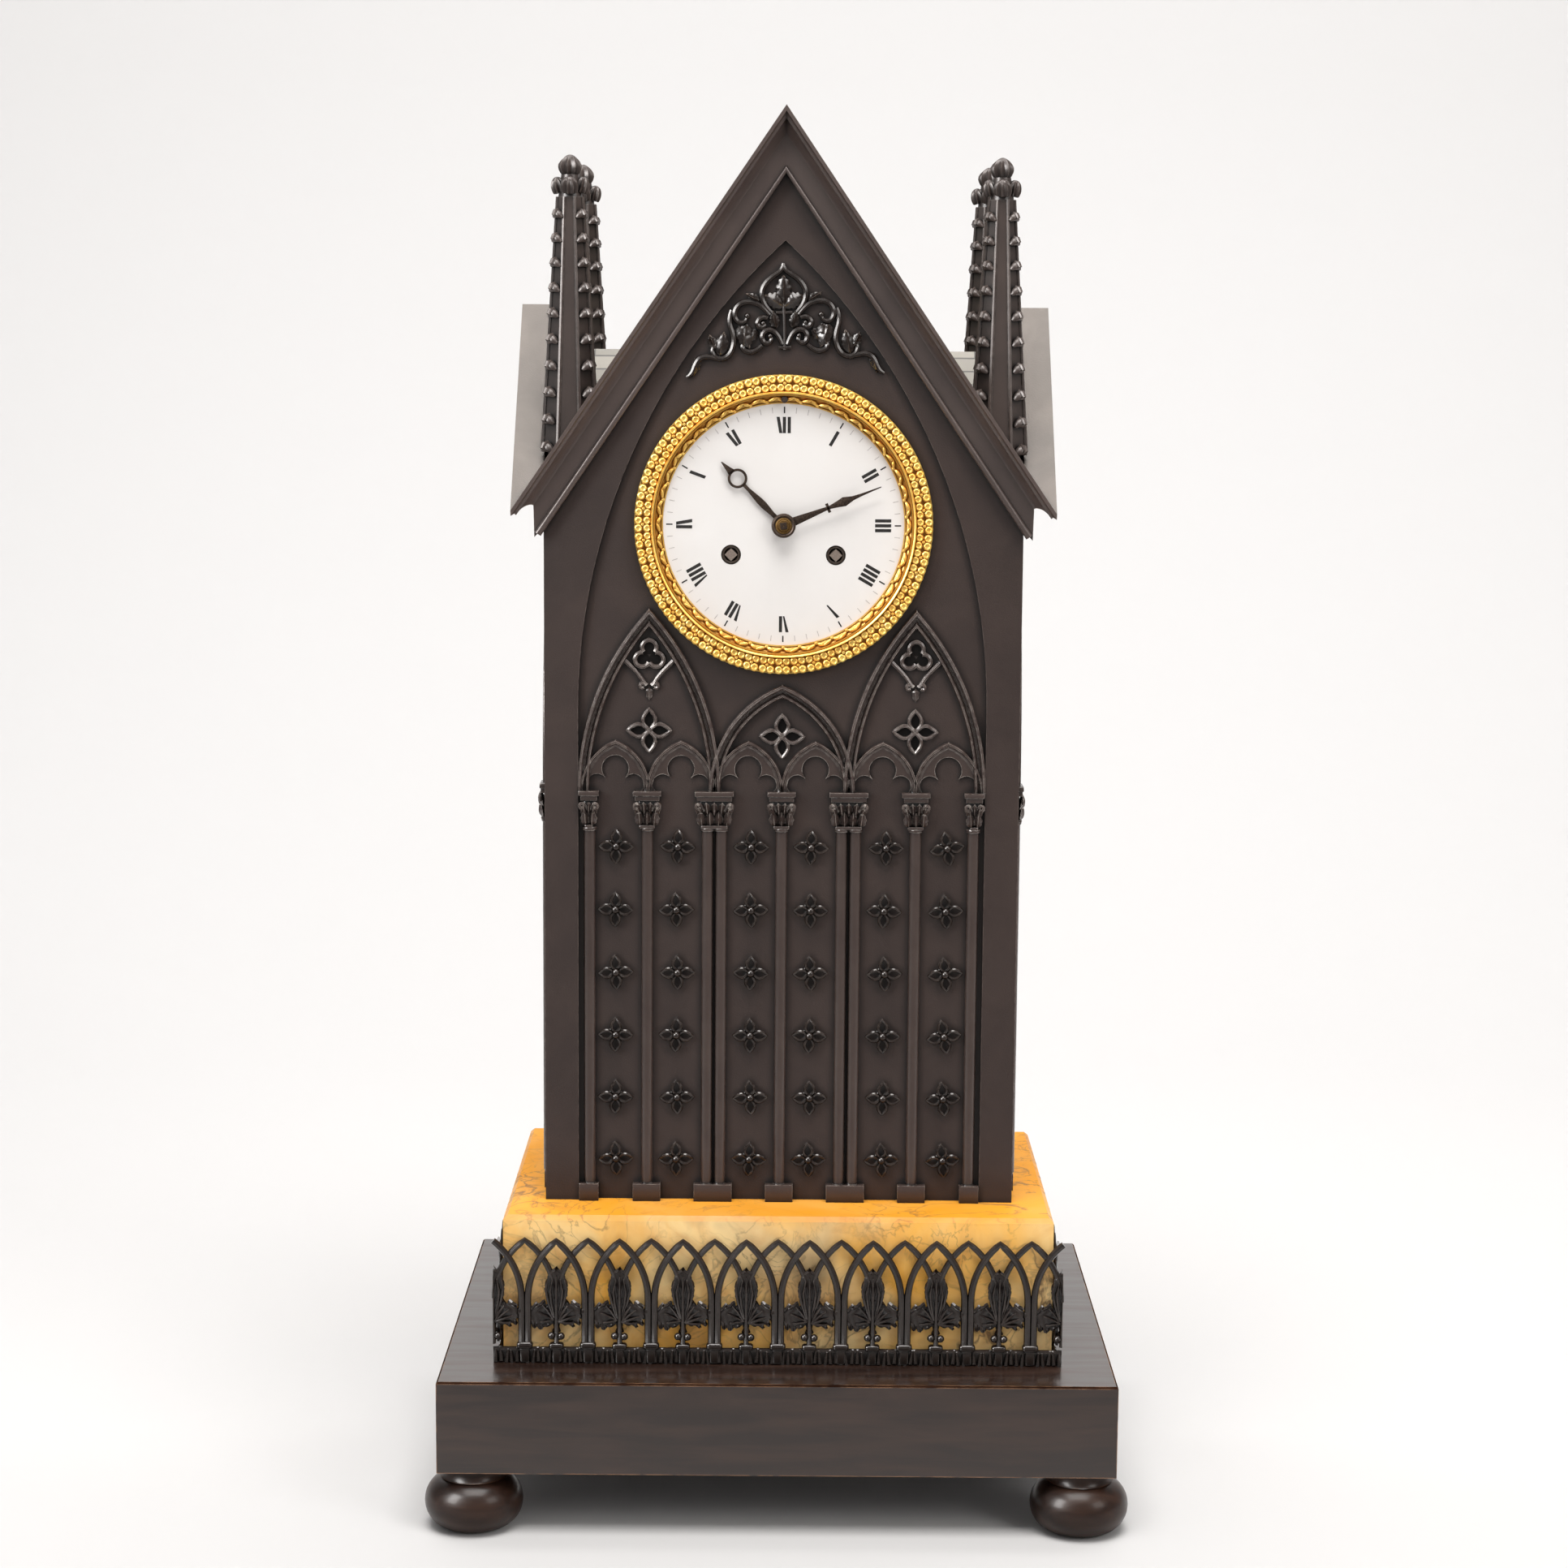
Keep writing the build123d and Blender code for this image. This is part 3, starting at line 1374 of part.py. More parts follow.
stand_reach = hypot(stand_spot[0], stand_spot[1] - dial_z)
with BuildPart() as bell_stand:
    with BuildSketch(front(bell_crown + arm_thick)):
        with Locations(stand_spot):
            Circle(stand_radius)
    extrude(amount=bell_crown + arm_thick - plate_rear)
    with BuildSketch(front(bell_crown + arm_thick)):
        with Locations((stand_spot[0] / 2, (stand_spot[1] + dial_z) / 2)):
            Rectangle(stand_reach, 2 * stand_radius, rotation=stand_turn)
        with Locations((0, dial_z)):
            Circle(crown_boss)
    extrude(amount=arm_thick)
save(bell_stand, "bell_stand")

hammer_head = 4.0
hammer_gap = 0.8
head_orbit = bell_radius + hammer_gap + hammer_head
head_bearing = radians(6)
head_spot = (-head_orbit * cos(head_bearing), dial_z - head_orbit * sin(head_bearing))
hub_radius = 3.4
arm_wide = 3.0
shank_radius = 2.2
head_length = 6.0
head_rear = bell_mouth + 6.5
shank_rear = head_rear + hammer_clearance
arm_turn = degrees(bearing(hammer_spot, head_spot))
arm_reach = hypot(head_spot[0] - hammer_spot[0], head_spot[1] - hammer_spot[1])
with BuildPart() as hammer:
    with BuildSketch(front(hammer_front + hammer_thick)):
        with Locations(hammer_spot):
            Circle(hub_radius)
        with Locations(((hammer_spot[0] + head_spot[0]) / 2, (hammer_spot[1] + head_spot[1]) / 2)):
            Rectangle(arm_reach, arm_wide, rotation=arm_turn)
        with Locations(head_spot):
            Circle(shank_radius)
        with Locations(hammer_spot):
            Circle(stud_radius + running, mode=Mode.SUBTRACT)
    extrude(amount=hammer_thick)
    with BuildSketch(front(shank_rear)):
        with Locations(head_spot):
            Circle(shank_radius)
    extrude(amount=shank_rear - hammer_front)
    with BuildSketch(front(head_rear)):
        with Locations(head_spot):
            Circle(hammer_head)
    extrude(amount=head_length)
save(hammer, "hammer")

# Round back door, hinged on the ring behind the movement
ring_margin = 7.0
ring_thick = 3.0
hinge_gap = 3.0
knuckle = 2.2
lug_inner = 6.0
lug_outer = 11.0
lug_root = 3.0
lug_gap = 0.4
door_root = 2.0
ring_outer = door_opening + ring_margin
ring_rear = case_back + ring_thick
hinge_x = -ring_outer - hinge_gap
hinge_y = ring_rear + door_thick / 2
leaf_half = lug_inner - lug_gap
lug_end = -door_opening - lug_root
lug_start = hinge_x - knuckle
lug_middle = (lug_inner + lug_outer) / 2
pin_radius = hinge_pin / 2
with BuildPart() as rear_ring:
    with BuildSketch(front(ring_rear)):
        with Locations((0, dial_z)):
            Circle(ring_outer)
            Circle(door_opening, mode=Mode.SUBTRACT)
        with Locations(((lug_start + lug_end) / 2, dial_z + lug_middle),
                       ((lug_start + lug_end) / 2, dial_z - lug_middle)):
            Rectangle(lug_end - lug_start, lug_outer - lug_inner)
    extrude(amount=ring_thick)
    for level in (dial_z + lug_inner, dial_z - lug_outer):
        with BuildSketch(Plane.XY.offset(level)):
            with Locations((hinge_x, hinge_y)):
                Circle(knuckle)
            with Locations((hinge_x, (hinge_y + ring_rear) / 2)):
                Rectangle(2 * knuckle, hinge_y - ring_rear)
        extrude(amount=lug_outer - lug_inner)
    with BuildSketch(Plane.XY.offset(dial_z - lug_outer)):
        with Locations((hinge_x, hinge_y)):
            Circle(pin_radius + running)
    extrude(amount=2 * lug_outer, mode=Mode.SUBTRACT)
save(rear_ring, "rear_ring")

with BuildPart() as door_pin:
    with BuildSketch(Plane.XY.offset(dial_z - lug_outer)):
        with Locations((hinge_x, hinge_y)):
            Circle(pin_radius)
    extrude(amount=2 * lug_outer)
save(door_pin, "door_pin")

knob_inset = 7.0
knob_radius = 2.6
knob_height = 5.0
knob_x = door_radius - knob_inset
strip_end = -door_radius + 2 * door_root
with BuildPart() as rear_door:
    with BuildSketch(front(ring_rear + door_thick)):
        with Locations((0, dial_z)):
            Circle(door_radius)
        with Locations(((hinge_x + strip_end) / 2, dial_z)):
            Rectangle(strip_end - hinge_x, 2 * leaf_half)
    extrude(amount=door_thick)
    with BuildSketch(Plane.XY.offset(dial_z - leaf_half)):
        with Locations((hinge_x, hinge_y)):
            Circle(knuckle)
    extrude(amount=2 * leaf_half)
    with BuildSketch(Plane.XY.offset(dial_z - leaf_half)):
        with Locations((hinge_x, hinge_y)):
            Circle(pin_radius + running)
    extrude(amount=2 * leaf_half, mode=Mode.SUBTRACT)
    with BuildSketch(front(ring_rear + door_thick + knob_height)):
        with Locations((knob_x, dial_z)):
            Circle(knob_radius)
    extrude(amount=knob_height)
save(rear_door, "rear_door")
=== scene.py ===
import bmesh
import bpy
from math import acos, cos, hypot, pi, radians, sin
from mathutils import Matrix, Vector


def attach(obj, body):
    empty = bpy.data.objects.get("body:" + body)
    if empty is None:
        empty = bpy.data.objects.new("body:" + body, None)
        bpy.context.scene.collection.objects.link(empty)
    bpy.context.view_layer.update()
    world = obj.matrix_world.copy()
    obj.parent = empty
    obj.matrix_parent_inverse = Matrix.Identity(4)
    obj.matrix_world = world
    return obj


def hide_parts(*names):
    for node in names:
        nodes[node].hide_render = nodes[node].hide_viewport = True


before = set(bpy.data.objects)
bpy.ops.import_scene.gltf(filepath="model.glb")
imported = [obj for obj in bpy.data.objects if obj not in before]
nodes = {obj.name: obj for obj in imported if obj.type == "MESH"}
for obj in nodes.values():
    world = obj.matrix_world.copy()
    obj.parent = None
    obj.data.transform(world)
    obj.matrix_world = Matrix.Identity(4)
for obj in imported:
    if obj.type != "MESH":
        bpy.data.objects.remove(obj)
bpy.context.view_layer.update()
scene = bpy.context.scene
perMetre = 1000  # pieces are drawn in millimetres
weld = 0.0005  # points closer than this become one


# where a CAD node begins or ends along an axis, to a tenth of a millimetre
def edgeOf(name, axis, end):
    along = "xyz".index(axis)
    return round(perMetre * end(vert.co[along] for vert in nodes[name].data.vertices), 1)


def middleOf(name, axis):
    return (edgeOf(name, axis, min) + edgeOf(name, axis, max)) / 2


# levels shared by many pieces
level = {
    "slabTop": edgeOf("base_slab", "z", max), "caseBottom": edgeOf("front_plate", "z", min),
    "capitalTop": edgeOf("arcade_columns", "z", max), "capitalTall": 14.3,
    "dialZ": middleOf("dial", "z"),
    "caseFront": edgeOf("front_plate", "y", min), "caseBack": edgeOf("back_plate", "y", max),
    "panelFront": edgeOf("front_panel", "y", min), "dialFace": edgeOf("bezel_slip", "y", max),
    "halfWidth": edgeOf("front_plate", "x", max), "eaves": 391.5, "rakeSlope": 1.4638,
}
caseMiddle = (level["caseFront"] + level["caseBack"]) / 2
capitalUp = level["capitalTop"] - level["caseBottom"]
capitalFoot = capitalUp - level["capitalTall"]


# a colour in bytes, made linear
def srgb(red, green, blue):
    return tuple((c / 255 / 12.92 if c < 10.3 else ((c / 255 + 0.055) / 1.055) ** 2.4)
                 for c in (red, green, blue)) + (1.0,)


# node helpers
def addNode(tree, kind, **settings):
    node = tree.nodes.new(kind)
    for key, value in settings.items():
        setattr(node, key, value)
    return node


def setInputs(node, **values):
    for key, value in values.items():
        node.inputs[key].default_value = value
    return node


def feed(tree, socket, value):
    if hasattr(value, "node"):
        tree.links.new(value, socket)
    else:
        socket.default_value = value


def mixColour(tree, mask, first, second):
    mix = addNode(tree, "ShaderNodeMix", data_type="RGBA")
    for place, value in ((0, mask), (6, first), (7, second)):  # factor and the two colour sockets
        feed(tree, mix.inputs[place], value)
    return mix.outputs[2]


def ramp(tree, value, *stops):
    node = addNode(tree, "ShaderNodeValToRGB")
    while len(node.color_ramp.elements) < len(stops):
        node.color_ramp.elements.new(0.5)
    for element, (place, grey) in zip(node.color_ramp.elements, stops):
        element.position = place
        element.color = (grey, grey, grey, 1)
    tree.links.new(value, node.inputs[0])
    return node.outputs[0]


def reckon(tree, kind, first, second=0.0):
    node = addNode(tree, "ShaderNodeMath", operation=kind)
    for socket, value in zip(node.inputs, (first, second)):
        feed(tree, socket, value)
    return node.outputs[0]


def times(tree, first, second):
    return reckon(tree, "MULTIPLY", first, second)


def noiseOf(tree, vector, scale, detail=4.0, distortion=0.0):
    node = setInputs(addNode(tree, "ShaderNodeTexNoise"), Scale=scale, Detail=detail, Distortion=distortion)
    tree.links.new(vector, node.inputs["Vector"])
    return node.outputs[0]


def objectCoords(tree):
    return addNode(tree, "ShaderNodeTexCoord").outputs["Object"]


def splitUp(tree, vector):
    node = addNode(tree, "ShaderNodeSeparateXYZ")
    tree.links.new(vector, node.inputs[0])
    return node.outputs


def stretched(tree, scale):
    node = setInputs(addNode(tree, "ShaderNodeMapping"), Scale=scale)
    tree.links.new(objectCoords(tree), node.inputs[0])
    return node.outputs[0]


# rubbed edges: where a rounded normal leaves the flat one, less in hollows
wearLook = {"Radius": 0.0004, "Breakup": 900.0, "Gain": 3.0, "hollowReach": 0.003, "samples": 4}


def buildEdgeWear():
    group = bpy.data.node_groups.new("edgeWear", "ShaderNodeTree")
    for name in ("Radius", "Breakup", "Gain"):
        socket = group.interface.new_socket(name, in_out="INPUT", socket_type="NodeSocketFloat")
        socket.default_value = wearLook[name]
    for name in ("Wear", "Hollow"):
        group.interface.new_socket(name, in_out="OUTPUT", socket_type="NodeSocketFloat")
    entry = addNode(group, "NodeGroupInput")
    out = addNode(group, "NodeGroupOutput")
    bevel = addNode(group, "ShaderNodeBevel", samples=wearLook["samples"])
    geometry = addNode(group, "ShaderNodeNewGeometry")
    dot = addNode(group, "ShaderNodeVectorMath", operation="DOT_PRODUCT")
    occlusion = addNode(group, "ShaderNodeAmbientOcclusion", samples=wearLook["samples"])
    occlusion.inputs["Distance"].default_value = wearLook["hollowReach"]
    group.links.new(entry.outputs["Radius"], bevel.inputs["Radius"])
    group.links.new(bevel.outputs[0], dot.inputs[0])
    group.links.new(geometry.outputs["Normal"], dot.inputs[1])
    edge = times(group, reckon(group, "SUBTRACT", 1.0, dot.outputs["Value"]), entry.outputs["Gain"])
    speck = setInputs(addNode(group, "ShaderNodeTexNoise"), Detail=3.0)
    group.links.new(entry.outputs["Breakup"], speck.inputs["Scale"])
    group.links.new(objectCoords(group), speck.inputs["Vector"])
    patchy = ramp(group, speck.outputs[0], (0.36, 0.0), (0.62, 1.0))
    exposed = ramp(group, occlusion.outputs["AO"], (0.45, 0.0), (0.9, 1.0))
    capped = addNode(group, "ShaderNodeClamp")
    group.links.new(times(group, times(group, edge, patchy), exposed), capped.inputs[0])
    group.links.new(capped.outputs[0], out.inputs["Wear"])
    group.links.new(reckon(group, "SUBTRACT", 1.0, exposed), out.inputs["Hollow"])
    return group


edgeWear = buildEdgeWear()


def wearNode(tree, **values):
    return setInputs(addNode(tree, "ShaderNodeGroup", node_tree=edgeWear), **values).outputs


def newMaterial(name, **sockets):
    material = bpy.data.materials.new(name)
    material.use_nodes = True
    shader = material.node_tree.nodes["Principled BSDF"]
    for key, value in sockets.items():
        shader.inputs[key].default_value = value
    return material, material.node_tree, shader


def colourInto(tree, shader, colour):
    tree.links.new(colour, shader.inputs["Base Color"])


def bumpInto(tree, shader, height, strength, distance):
    bump = setInputs(addNode(tree, "ShaderNodeBump"), Strength=strength, Distance=distance)
    tree.links.new(height, bump.inputs["Height"])
    tree.links.new(bump.outputs[0], shader.inputs["Normal"])


# roughness runs from low to high with a pattern
def roughInto(tree, shader, pattern, low, high):
    spread = addNode(tree, "ShaderNodeMapRange")
    spread.inputs["To Min"].default_value = low
    spread.inputs["To Max"].default_value = high
    tree.links.new(pattern, spread.inputs[0])
    tree.links.new(spread.outputs[0], shader.inputs["Roughness"])


# dark brown patina on bronze
bronzeLook = {"skin": srgb(55, 42, 38), "cloud": srgb(64, 50, 45), "hollow": srgb(17, 13, 12),
              "bare": srgb(128, 114, 106), "cloudScale": 38.0, "grainScale": 1700.0, "grainDeep": 0.0004,
              "metallic": 0.15, "wearRadius": 0.0005, "wearBreakup": 420.0}


def patinaMaterial(name, gain=3.2, rough=(0.36, 0.52), gloss=0.55, grainBump=0.16, **tones):
    look = {**bronzeLook, **{part: srgb(*tone) for part, tone in tones.items()}}
    sockets = {"Metallic": look["metallic"], "Specular IOR Level": gloss}
    material, tree, shader = newMaterial(name, **sockets)
    coords = objectCoords(tree)
    cloud = ramp(tree, noiseOf(tree, coords, look["cloudScale"], 5.0, 0.6), (0.35, 0.0), (0.7, 1.0))
    fine = noiseOf(tree, coords, look["grainScale"], 3.0)
    wear = wearNode(tree, Radius=look["wearRadius"], Breakup=look["wearBreakup"], Gain=gain)
    colour = mixColour(tree, cloud, look["skin"], look["cloud"])
    colour = mixColour(tree, wear["Hollow"], colour, look["hollow"])
    colour = mixColour(tree, wear["Wear"], colour, look["bare"])
    colourInto(tree, shader, colour)
    roughInto(tree, shader, fine, *rough)
    bumpInto(tree, shader, fine, grainBump, look["grainDeep"])
    return material


# how far up a face looks: chamfers lean, level faces look straight up
facing = {"chamfer": (0.3, 0.95), "level": (0.95, 2.0)}


def facingMask(tree, kind):
    low, high = facing[kind]
    up = splitUp(tree, addNode(tree, "ShaderNodeNewGeometry").outputs["True Normal"])[2]
    return times(tree, reckon(tree, "GREATER_THAN", up, low), reckon(tree, "LESS_THAN", up, high))


# black-stained wood: long grain, edges rubbed through to the bare wood
woodLook = {"skin": srgb(34, 20, 14), "grain": srgb(56, 36, 26), "bare": srgb(226, 172, 132),
            "along": (0.12, 1.0, 1.0), "streakScale": 190.0, "rough": (0.3, 0.44), "coatRough": 0.16,
            "wear": {"Radius": 0.0007, "Breakup": 160.0, "Gain": 5.0}, "grainBump": 0.05,
            "grainDeep": 0.0004}


def woodMaterial(name, chamfers, coat, gloss, rubbing):
    look = woodLook
    material, tree, shader = newMaterial(name, **{"Coat Roughness": look["coatRough"]})
    grain = noiseOf(tree, stretched(tree, look["along"]), look["streakScale"], 6.0, 0.4)
    streak = ramp(tree, grain, (0.38, 0.0), (0.75, 1.0))
    wear = wearNode(tree, **look["wear"])["Wear"]
    colour = mixColour(tree, streak, look["skin"], look["grain"])
    colourInto(tree, shader, mixColour(tree, times(tree, wear, rubbing), colour, look["bare"]))
    roughInto(tree, shader, reckon(tree, "MAXIMUM", streak, wear), *look["rough"])
    rubbed = reckon(tree, "MAXIMUM", wear, facingMask(tree, "chamfer")) if chamfers else wear
    flatParts = reckon(tree, "SUBTRACT", 1.0, rubbed)
    tree.links.new(times(tree, flatParts, coat), shader.inputs["Coat Weight"])
    tree.links.new(times(tree, flatParts, gloss), shader.inputs["Specular IOR Level"])
    bumpInto(tree, shader, streak, look["grainBump"], look["grainDeep"])
    return material


# slates on the roof: courses follow the height, joints run along each slope; the light grey of both slate
# tones is painted sheen from the light above
slateLook = {"course": 0.0052, "width": 0.017, "gap": 0.00028, "top": srgb(122, 117, 108),
             "low": srgb(106, 102, 94), "joint": srgb(56, 53, 49), "sideways": 0.4, "bump": 0.5,
             "deep": 0.0006}


def slateMaterial():
    look = slateLook
    material, tree, shader = newMaterial("roofSlates", **{"Metallic": 0.2, "Roughness": 0.42})
    place = splitUp(tree, objectCoords(tree))
    across = splitUp(tree, addNode(tree, "ShaderNodeNewGeometry").outputs["Normal"])[0]
    sideways = reckon(tree, "GREATER_THAN", reckon(tree, "ABSOLUTE", across), look["sideways"])
    along = addNode(tree, "ShaderNodeMix", data_type="FLOAT")
    for entry, value in ((0, sideways), (2, place[0]), (3, place[1])):  # factor and the two values
        tree.links.new(value, along.inputs[entry])
    flat = addNode(tree, "ShaderNodeCombineXYZ")
    tree.links.new(along.outputs[0], flat.inputs[0])
    tree.links.new(place[2], flat.inputs[1])
    brick = addNode(tree, "ShaderNodeTexBrick")
    setInputs(brick, **{"Scale": 1.0, "Brick Width": look["width"], "Row Height": look["course"],
                        "Mortar Size": look["gap"], "Color1": look["top"], "Color2": look["low"],
                        "Mortar": look["joint"]})
    tree.links.new(flat.outputs[0], brick.inputs["Vector"])
    colourInto(tree, shader, brick.outputs[0])
    bumpInto(tree, shader, brick.outputs[0], look["bump"], look["deep"])
    return material


# yellow marble with clouded patches and grey-brown veins, painted shading on chamfers and level tops, and
# painted darker marble in reflections; each share says how far a tone covers
marbleLook = {"pale": srgb(255, 222, 160), "deep": srgb(255, 190, 86), "rustAndShade": srgb(212, 134, 56),
              "vein": srgb(112, 84, 70), "grey": srgb(172, 140, 108), "top": srgb(234, 152, 2),
              "rustShare": 0.34, "smokeShare": 0.7, "chamferShadeShare": 0.55, "topShadeShare": 0.8, "reflectionShadeShare": 0.7}
marbleVeins = ((14.0, 0.022, 0.8), (34.0, 0.028, 0.5))  # scale, width, depth of tone


def marbleMaterial():
    look = marbleLook
    material, tree, shader = newMaterial("yellowMarble", **{"Roughness": 0.45, "Specular IOR Level": 0.06})
    coords = objectCoords(tree)
    cloud = ramp(tree, noiseOf(tree, coords, 16.0, 6.0, 1.2), (0.36, 0.0), (0.64, 1.0))
    patch = ramp(tree, noiseOf(tree, coords, 45.0, 6.0, 2.0), (0.45, 0.0), (0.75, 1.0))
    smoke = ramp(tree, noiseOf(tree, coords, 9.0, 4.0, 2.4), (0.55, 0.0), (0.72, 1.0))
    colour = mixColour(tree, cloud, look["deep"], look["pale"])
    # the patches are the stone's own rust tone; chamfers and level tops take painted shade, for how the light
    # falls on them
    for mask, share, tone in ((patch, "rustShare", "rustAndShade"), (smoke, "smokeShare", "grey"),
                              (facingMask(tree, "chamfer"), "chamferShadeShare", "rustAndShade"),
                              (facingMask(tree, "level"), "topShadeShare", "top")):
        colour = mixColour(tree, times(tree, mask, look[share]), colour, look[tone])
    for scale, width, depth in marbleVeins:
        warp = noiseOf(tree, coords, scale, 5.0, 3.0)
        line = reckon(tree, "ABSOLUTE", reckon(tree, "SUBTRACT", warp, 0.5))
        vein = ramp(tree, line, (0.0, 1.0), (width, 0.0))
        thin = ramp(tree, noiseOf(tree, coords, scale * 0.6, 2.0), (0.42, 0.0), (0.6, 1.0))
        colour = mixColour(tree, times(tree, times(tree, vein, thin), depth), colour, look["vein"])
    # painted reflection shade: to glossy rays the marble is mixed toward the vein tone, so the bronze above
    # mirrors it darker
    mirrored = addNode(tree, "ShaderNodeLightPath").outputs["Is Glossy Ray"]  # dim in the bronze above it
    shadedReflection = times(tree, mirrored, look["reflectionShadeShare"])
    colourInto(tree, shader, mixColour(tree, shadedReflection, colour, look["vein"]))
    bumpInto(tree, shader, noiseOf(tree, coords, 260.0, 5.0), 0.06, 0.0006)
    return material


# fire gilding, with painted shade in the hollows and the beads left bright
giltLook = {"gold": srgb(255, 220, 122), "deep": srgb(250, 192, 84), "shade": srgb(168, 104, 30),
            "rough": (0.22, 0.44)}


def giltMaterial():
    material, tree, shader = newMaterial("chasedGilt", **{"Metallic": 0.5})
    coords = objectCoords(tree)
    # painted shade: the occluded hollows take the shade tone
    hollow = wearNode(tree, Radius=0.0003, Breakup=700.0, Gain=1.2)["Hollow"]
    tone = ramp(tree, noiseOf(tree, coords, 190.0), (0.35, 0.0), (0.7, 1.0))
    colour = mixColour(tree, tone, giltLook["deep"], giltLook["gold"])
    colourInto(tree, shader, mixColour(tree, hollow, colour, giltLook["shade"]))
    fine = noiseOf(tree, coords, 2600.0, 3.0)
    roughInto(tree, shader, fine, *giltLook["rough"])
    bumpInto(tree, shader, fine, 0.2, 0.0003)
    return material


# fired white enamel, and the black and grey paint on it
enamelLook = {"dull": srgb(236, 232, 229), "clear": srgb(243, 240, 238)}


def enamelMaterial():
    sockets = {"Roughness": 0.2, "Specular IOR Level": 0.5, "Coat Weight": 0.4, "Coat Roughness": 0.05}
    material, tree, shader = newMaterial("whiteEnamel", **sockets)
    coords = objectCoords(tree)
    tone = ramp(tree, noiseOf(tree, coords, 24.0, 3.0), (0.3, 0.0), (0.8, 1.0))
    colourInto(tree, shader, mixColour(tree, tone, enamelLook["dull"], enamelLook["clear"]))
    bumpInto(tree, shader, noiseOf(tree, coords, 120.0, 2.0), 0.03, 0.0004)
    return material


def paintMaterial(name, dark, light):
    material, tree, shader = newMaterial(name, **{"Roughness": 0.4})
    tone = ramp(tree, noiseOf(tree, objectCoords(tree), 900.0), (0.35, 0.0), (0.8, 1.0))
    colourInto(tree, shader, mixColour(tree, tone, srgb(*dark), srgb(*light)))
    return material


# turned and brushed metals of the hands and the movement
metalLook = {"along": (1.0, 0.08, 1.0), "roughSpread": 0.14, "bump": 0.08, "deep": 0.0002}


def metalMaterial(name, base, light, rough, metallic=1.0, lines=2200.0):
    material, tree, shader = newMaterial(name, **{"Metallic": metallic})
    grain = noiseOf(tree, stretched(tree, metalLook["along"]), lines, 2.0)
    wear = wearNode(tree, Radius=0.0002, Breakup=800.0, Gain=1.5)["Wear"]
    colour = mixColour(tree, ramp(tree, grain, (0.3, 0.0), (0.7, 1.0)), srgb(*base), srgb(*light))
    colourInto(tree, shader, mixColour(tree, wear, colour, srgb(*light)))
    roughInto(tree, shader, grain, rough, rough + metalLook["roughSpread"])
    bumpInto(tree, shader, grain, metalLook["bump"], metalLook["deep"])
    return material


def silkMaterial():
    material, tree, shader = newMaterial("silkThread", **{"Roughness": 0.7})
    wave = setInputs(addNode(tree, "ShaderNodeTexWave"), Scale=900.0, Distortion=1.0)
    tree.links.new(objectCoords(tree), wave.inputs[0])
    colourInto(tree, shader, mixColour(tree, wave.outputs["Fac"], srgb(196, 186, 160), srgb(226, 220, 202)))
    return material


plateBronze = patinaMaterial("plateBronze")
castBronze = patinaMaterial("castOrnament", gain=1.8, rough=(0.16, 0.26), gloss=0.7, grainBump=0.05,
                            skin=(34, 25, 21), cloud=(44, 34, 29), bare=(126, 114, 106))
# side cornices: a lighter bronze, partly dust and partly painted sheen of the light above on their upward
# faces
dustAndSheenBronze = patinaMaterial("dustAndSheenBronze", gain=1.6, skin=(78, 69, 62), cloud=(96, 86, 78),
                             hollow=(34, 30, 27))
# arcade bronze: the skin is painted lighter as sheen, and the pale rubbed edges are partly wear, partly
# painted edge highlight
arcadeSheenBronze = patinaMaterial("arcadeSheenBronze", gain=5.0, rough=(0.17, 0.27), gloss=0.9,
                              skin=(69, 56, 52), cloud=(79, 66, 61), bare=(186, 176, 168))
# raking cornices: a lighter copy of the bronze, painted lighter for the light falling on the mouldings
litCorniceBronze = patinaMaterial("litCorniceBronze", rough=(0.3, 0.44), gloss=0.7,
                               skin=(84, 71, 67), cloud=(94, 80, 75))
pinnacleBronze = patinaMaterial("pinnacleBronze", gain=2.4, rough=(0.3, 0.42), gloss=0.6, grainBump=0.08,
                                skin=(66, 55, 51), cloud=(76, 64, 59), bare=(156, 145, 137))
# near-black plates of painted shade for the deep hollows of the foils
paintedShadeBronze = patinaMaterial("paintedShadeBronze", gain=0.5, gloss=0.2, skin=(16, 12, 11), cloud=(22, 17, 15))
ebonisedWood = woodMaterial("ebonisedWood", chamfers=True, coat=0.66, gloss=0.5, rubbing=0.6)
turnedWood = woodMaterial("turnedWood", chamfers=False, coat=0.12, gloss=0.25, rubbing=0.08)
roofSlates = slateMaterial()
yellowMarble = marbleMaterial()
chasedGilt = giltMaterial()
whiteEnamel = enamelMaterial()
blackPaint = paintMaterial("dialBlack", (28, 25, 24), (52, 48, 46))
greyPaint = paintMaterial("dialGrey", (176, 170, 168), (206, 202, 200))
handSteel = metalMaterial("handSteel", (52, 42, 37), (84, 70, 60), 0.36, 0.8)
arborSteel = metalMaterial("arborSteel", (112, 98, 90), (140, 126, 116), 0.5, 0.3)
darkSteel = metalMaterial("darkSteel", (58, 50, 46), (98, 86, 78), 0.38, 0.9)
plateBrass = metalMaterial("plateBrass", (186, 144, 72), (214, 176, 100), 0.26)
agedBrass = metalMaterial("agedBrass", (96, 70, 34), (134, 102, 54), 0.4, 0.7)
# painted shade: a darkened brass for the parts seen deep behind the dial
shadedBrass = metalMaterial("shadedBrass", (70, 58, 50), (92, 78, 68), 0.5, 0.3)
bellMetal = metalMaterial("bellMetal", (168, 138, 92), (182, 152, 104), 0.36, lines=500.0)
silkThread = silkMaterial()
print("materials ready")

# mesh helpers: drawings are made in a flat (across, up, out) space and then stood on a wall
asDrawn = Matrix.Identity(4)


def onFront(y):
    return Matrix.Translation((0, y, 0)) @ Matrix.Rotation(radians(90), 4, "X")


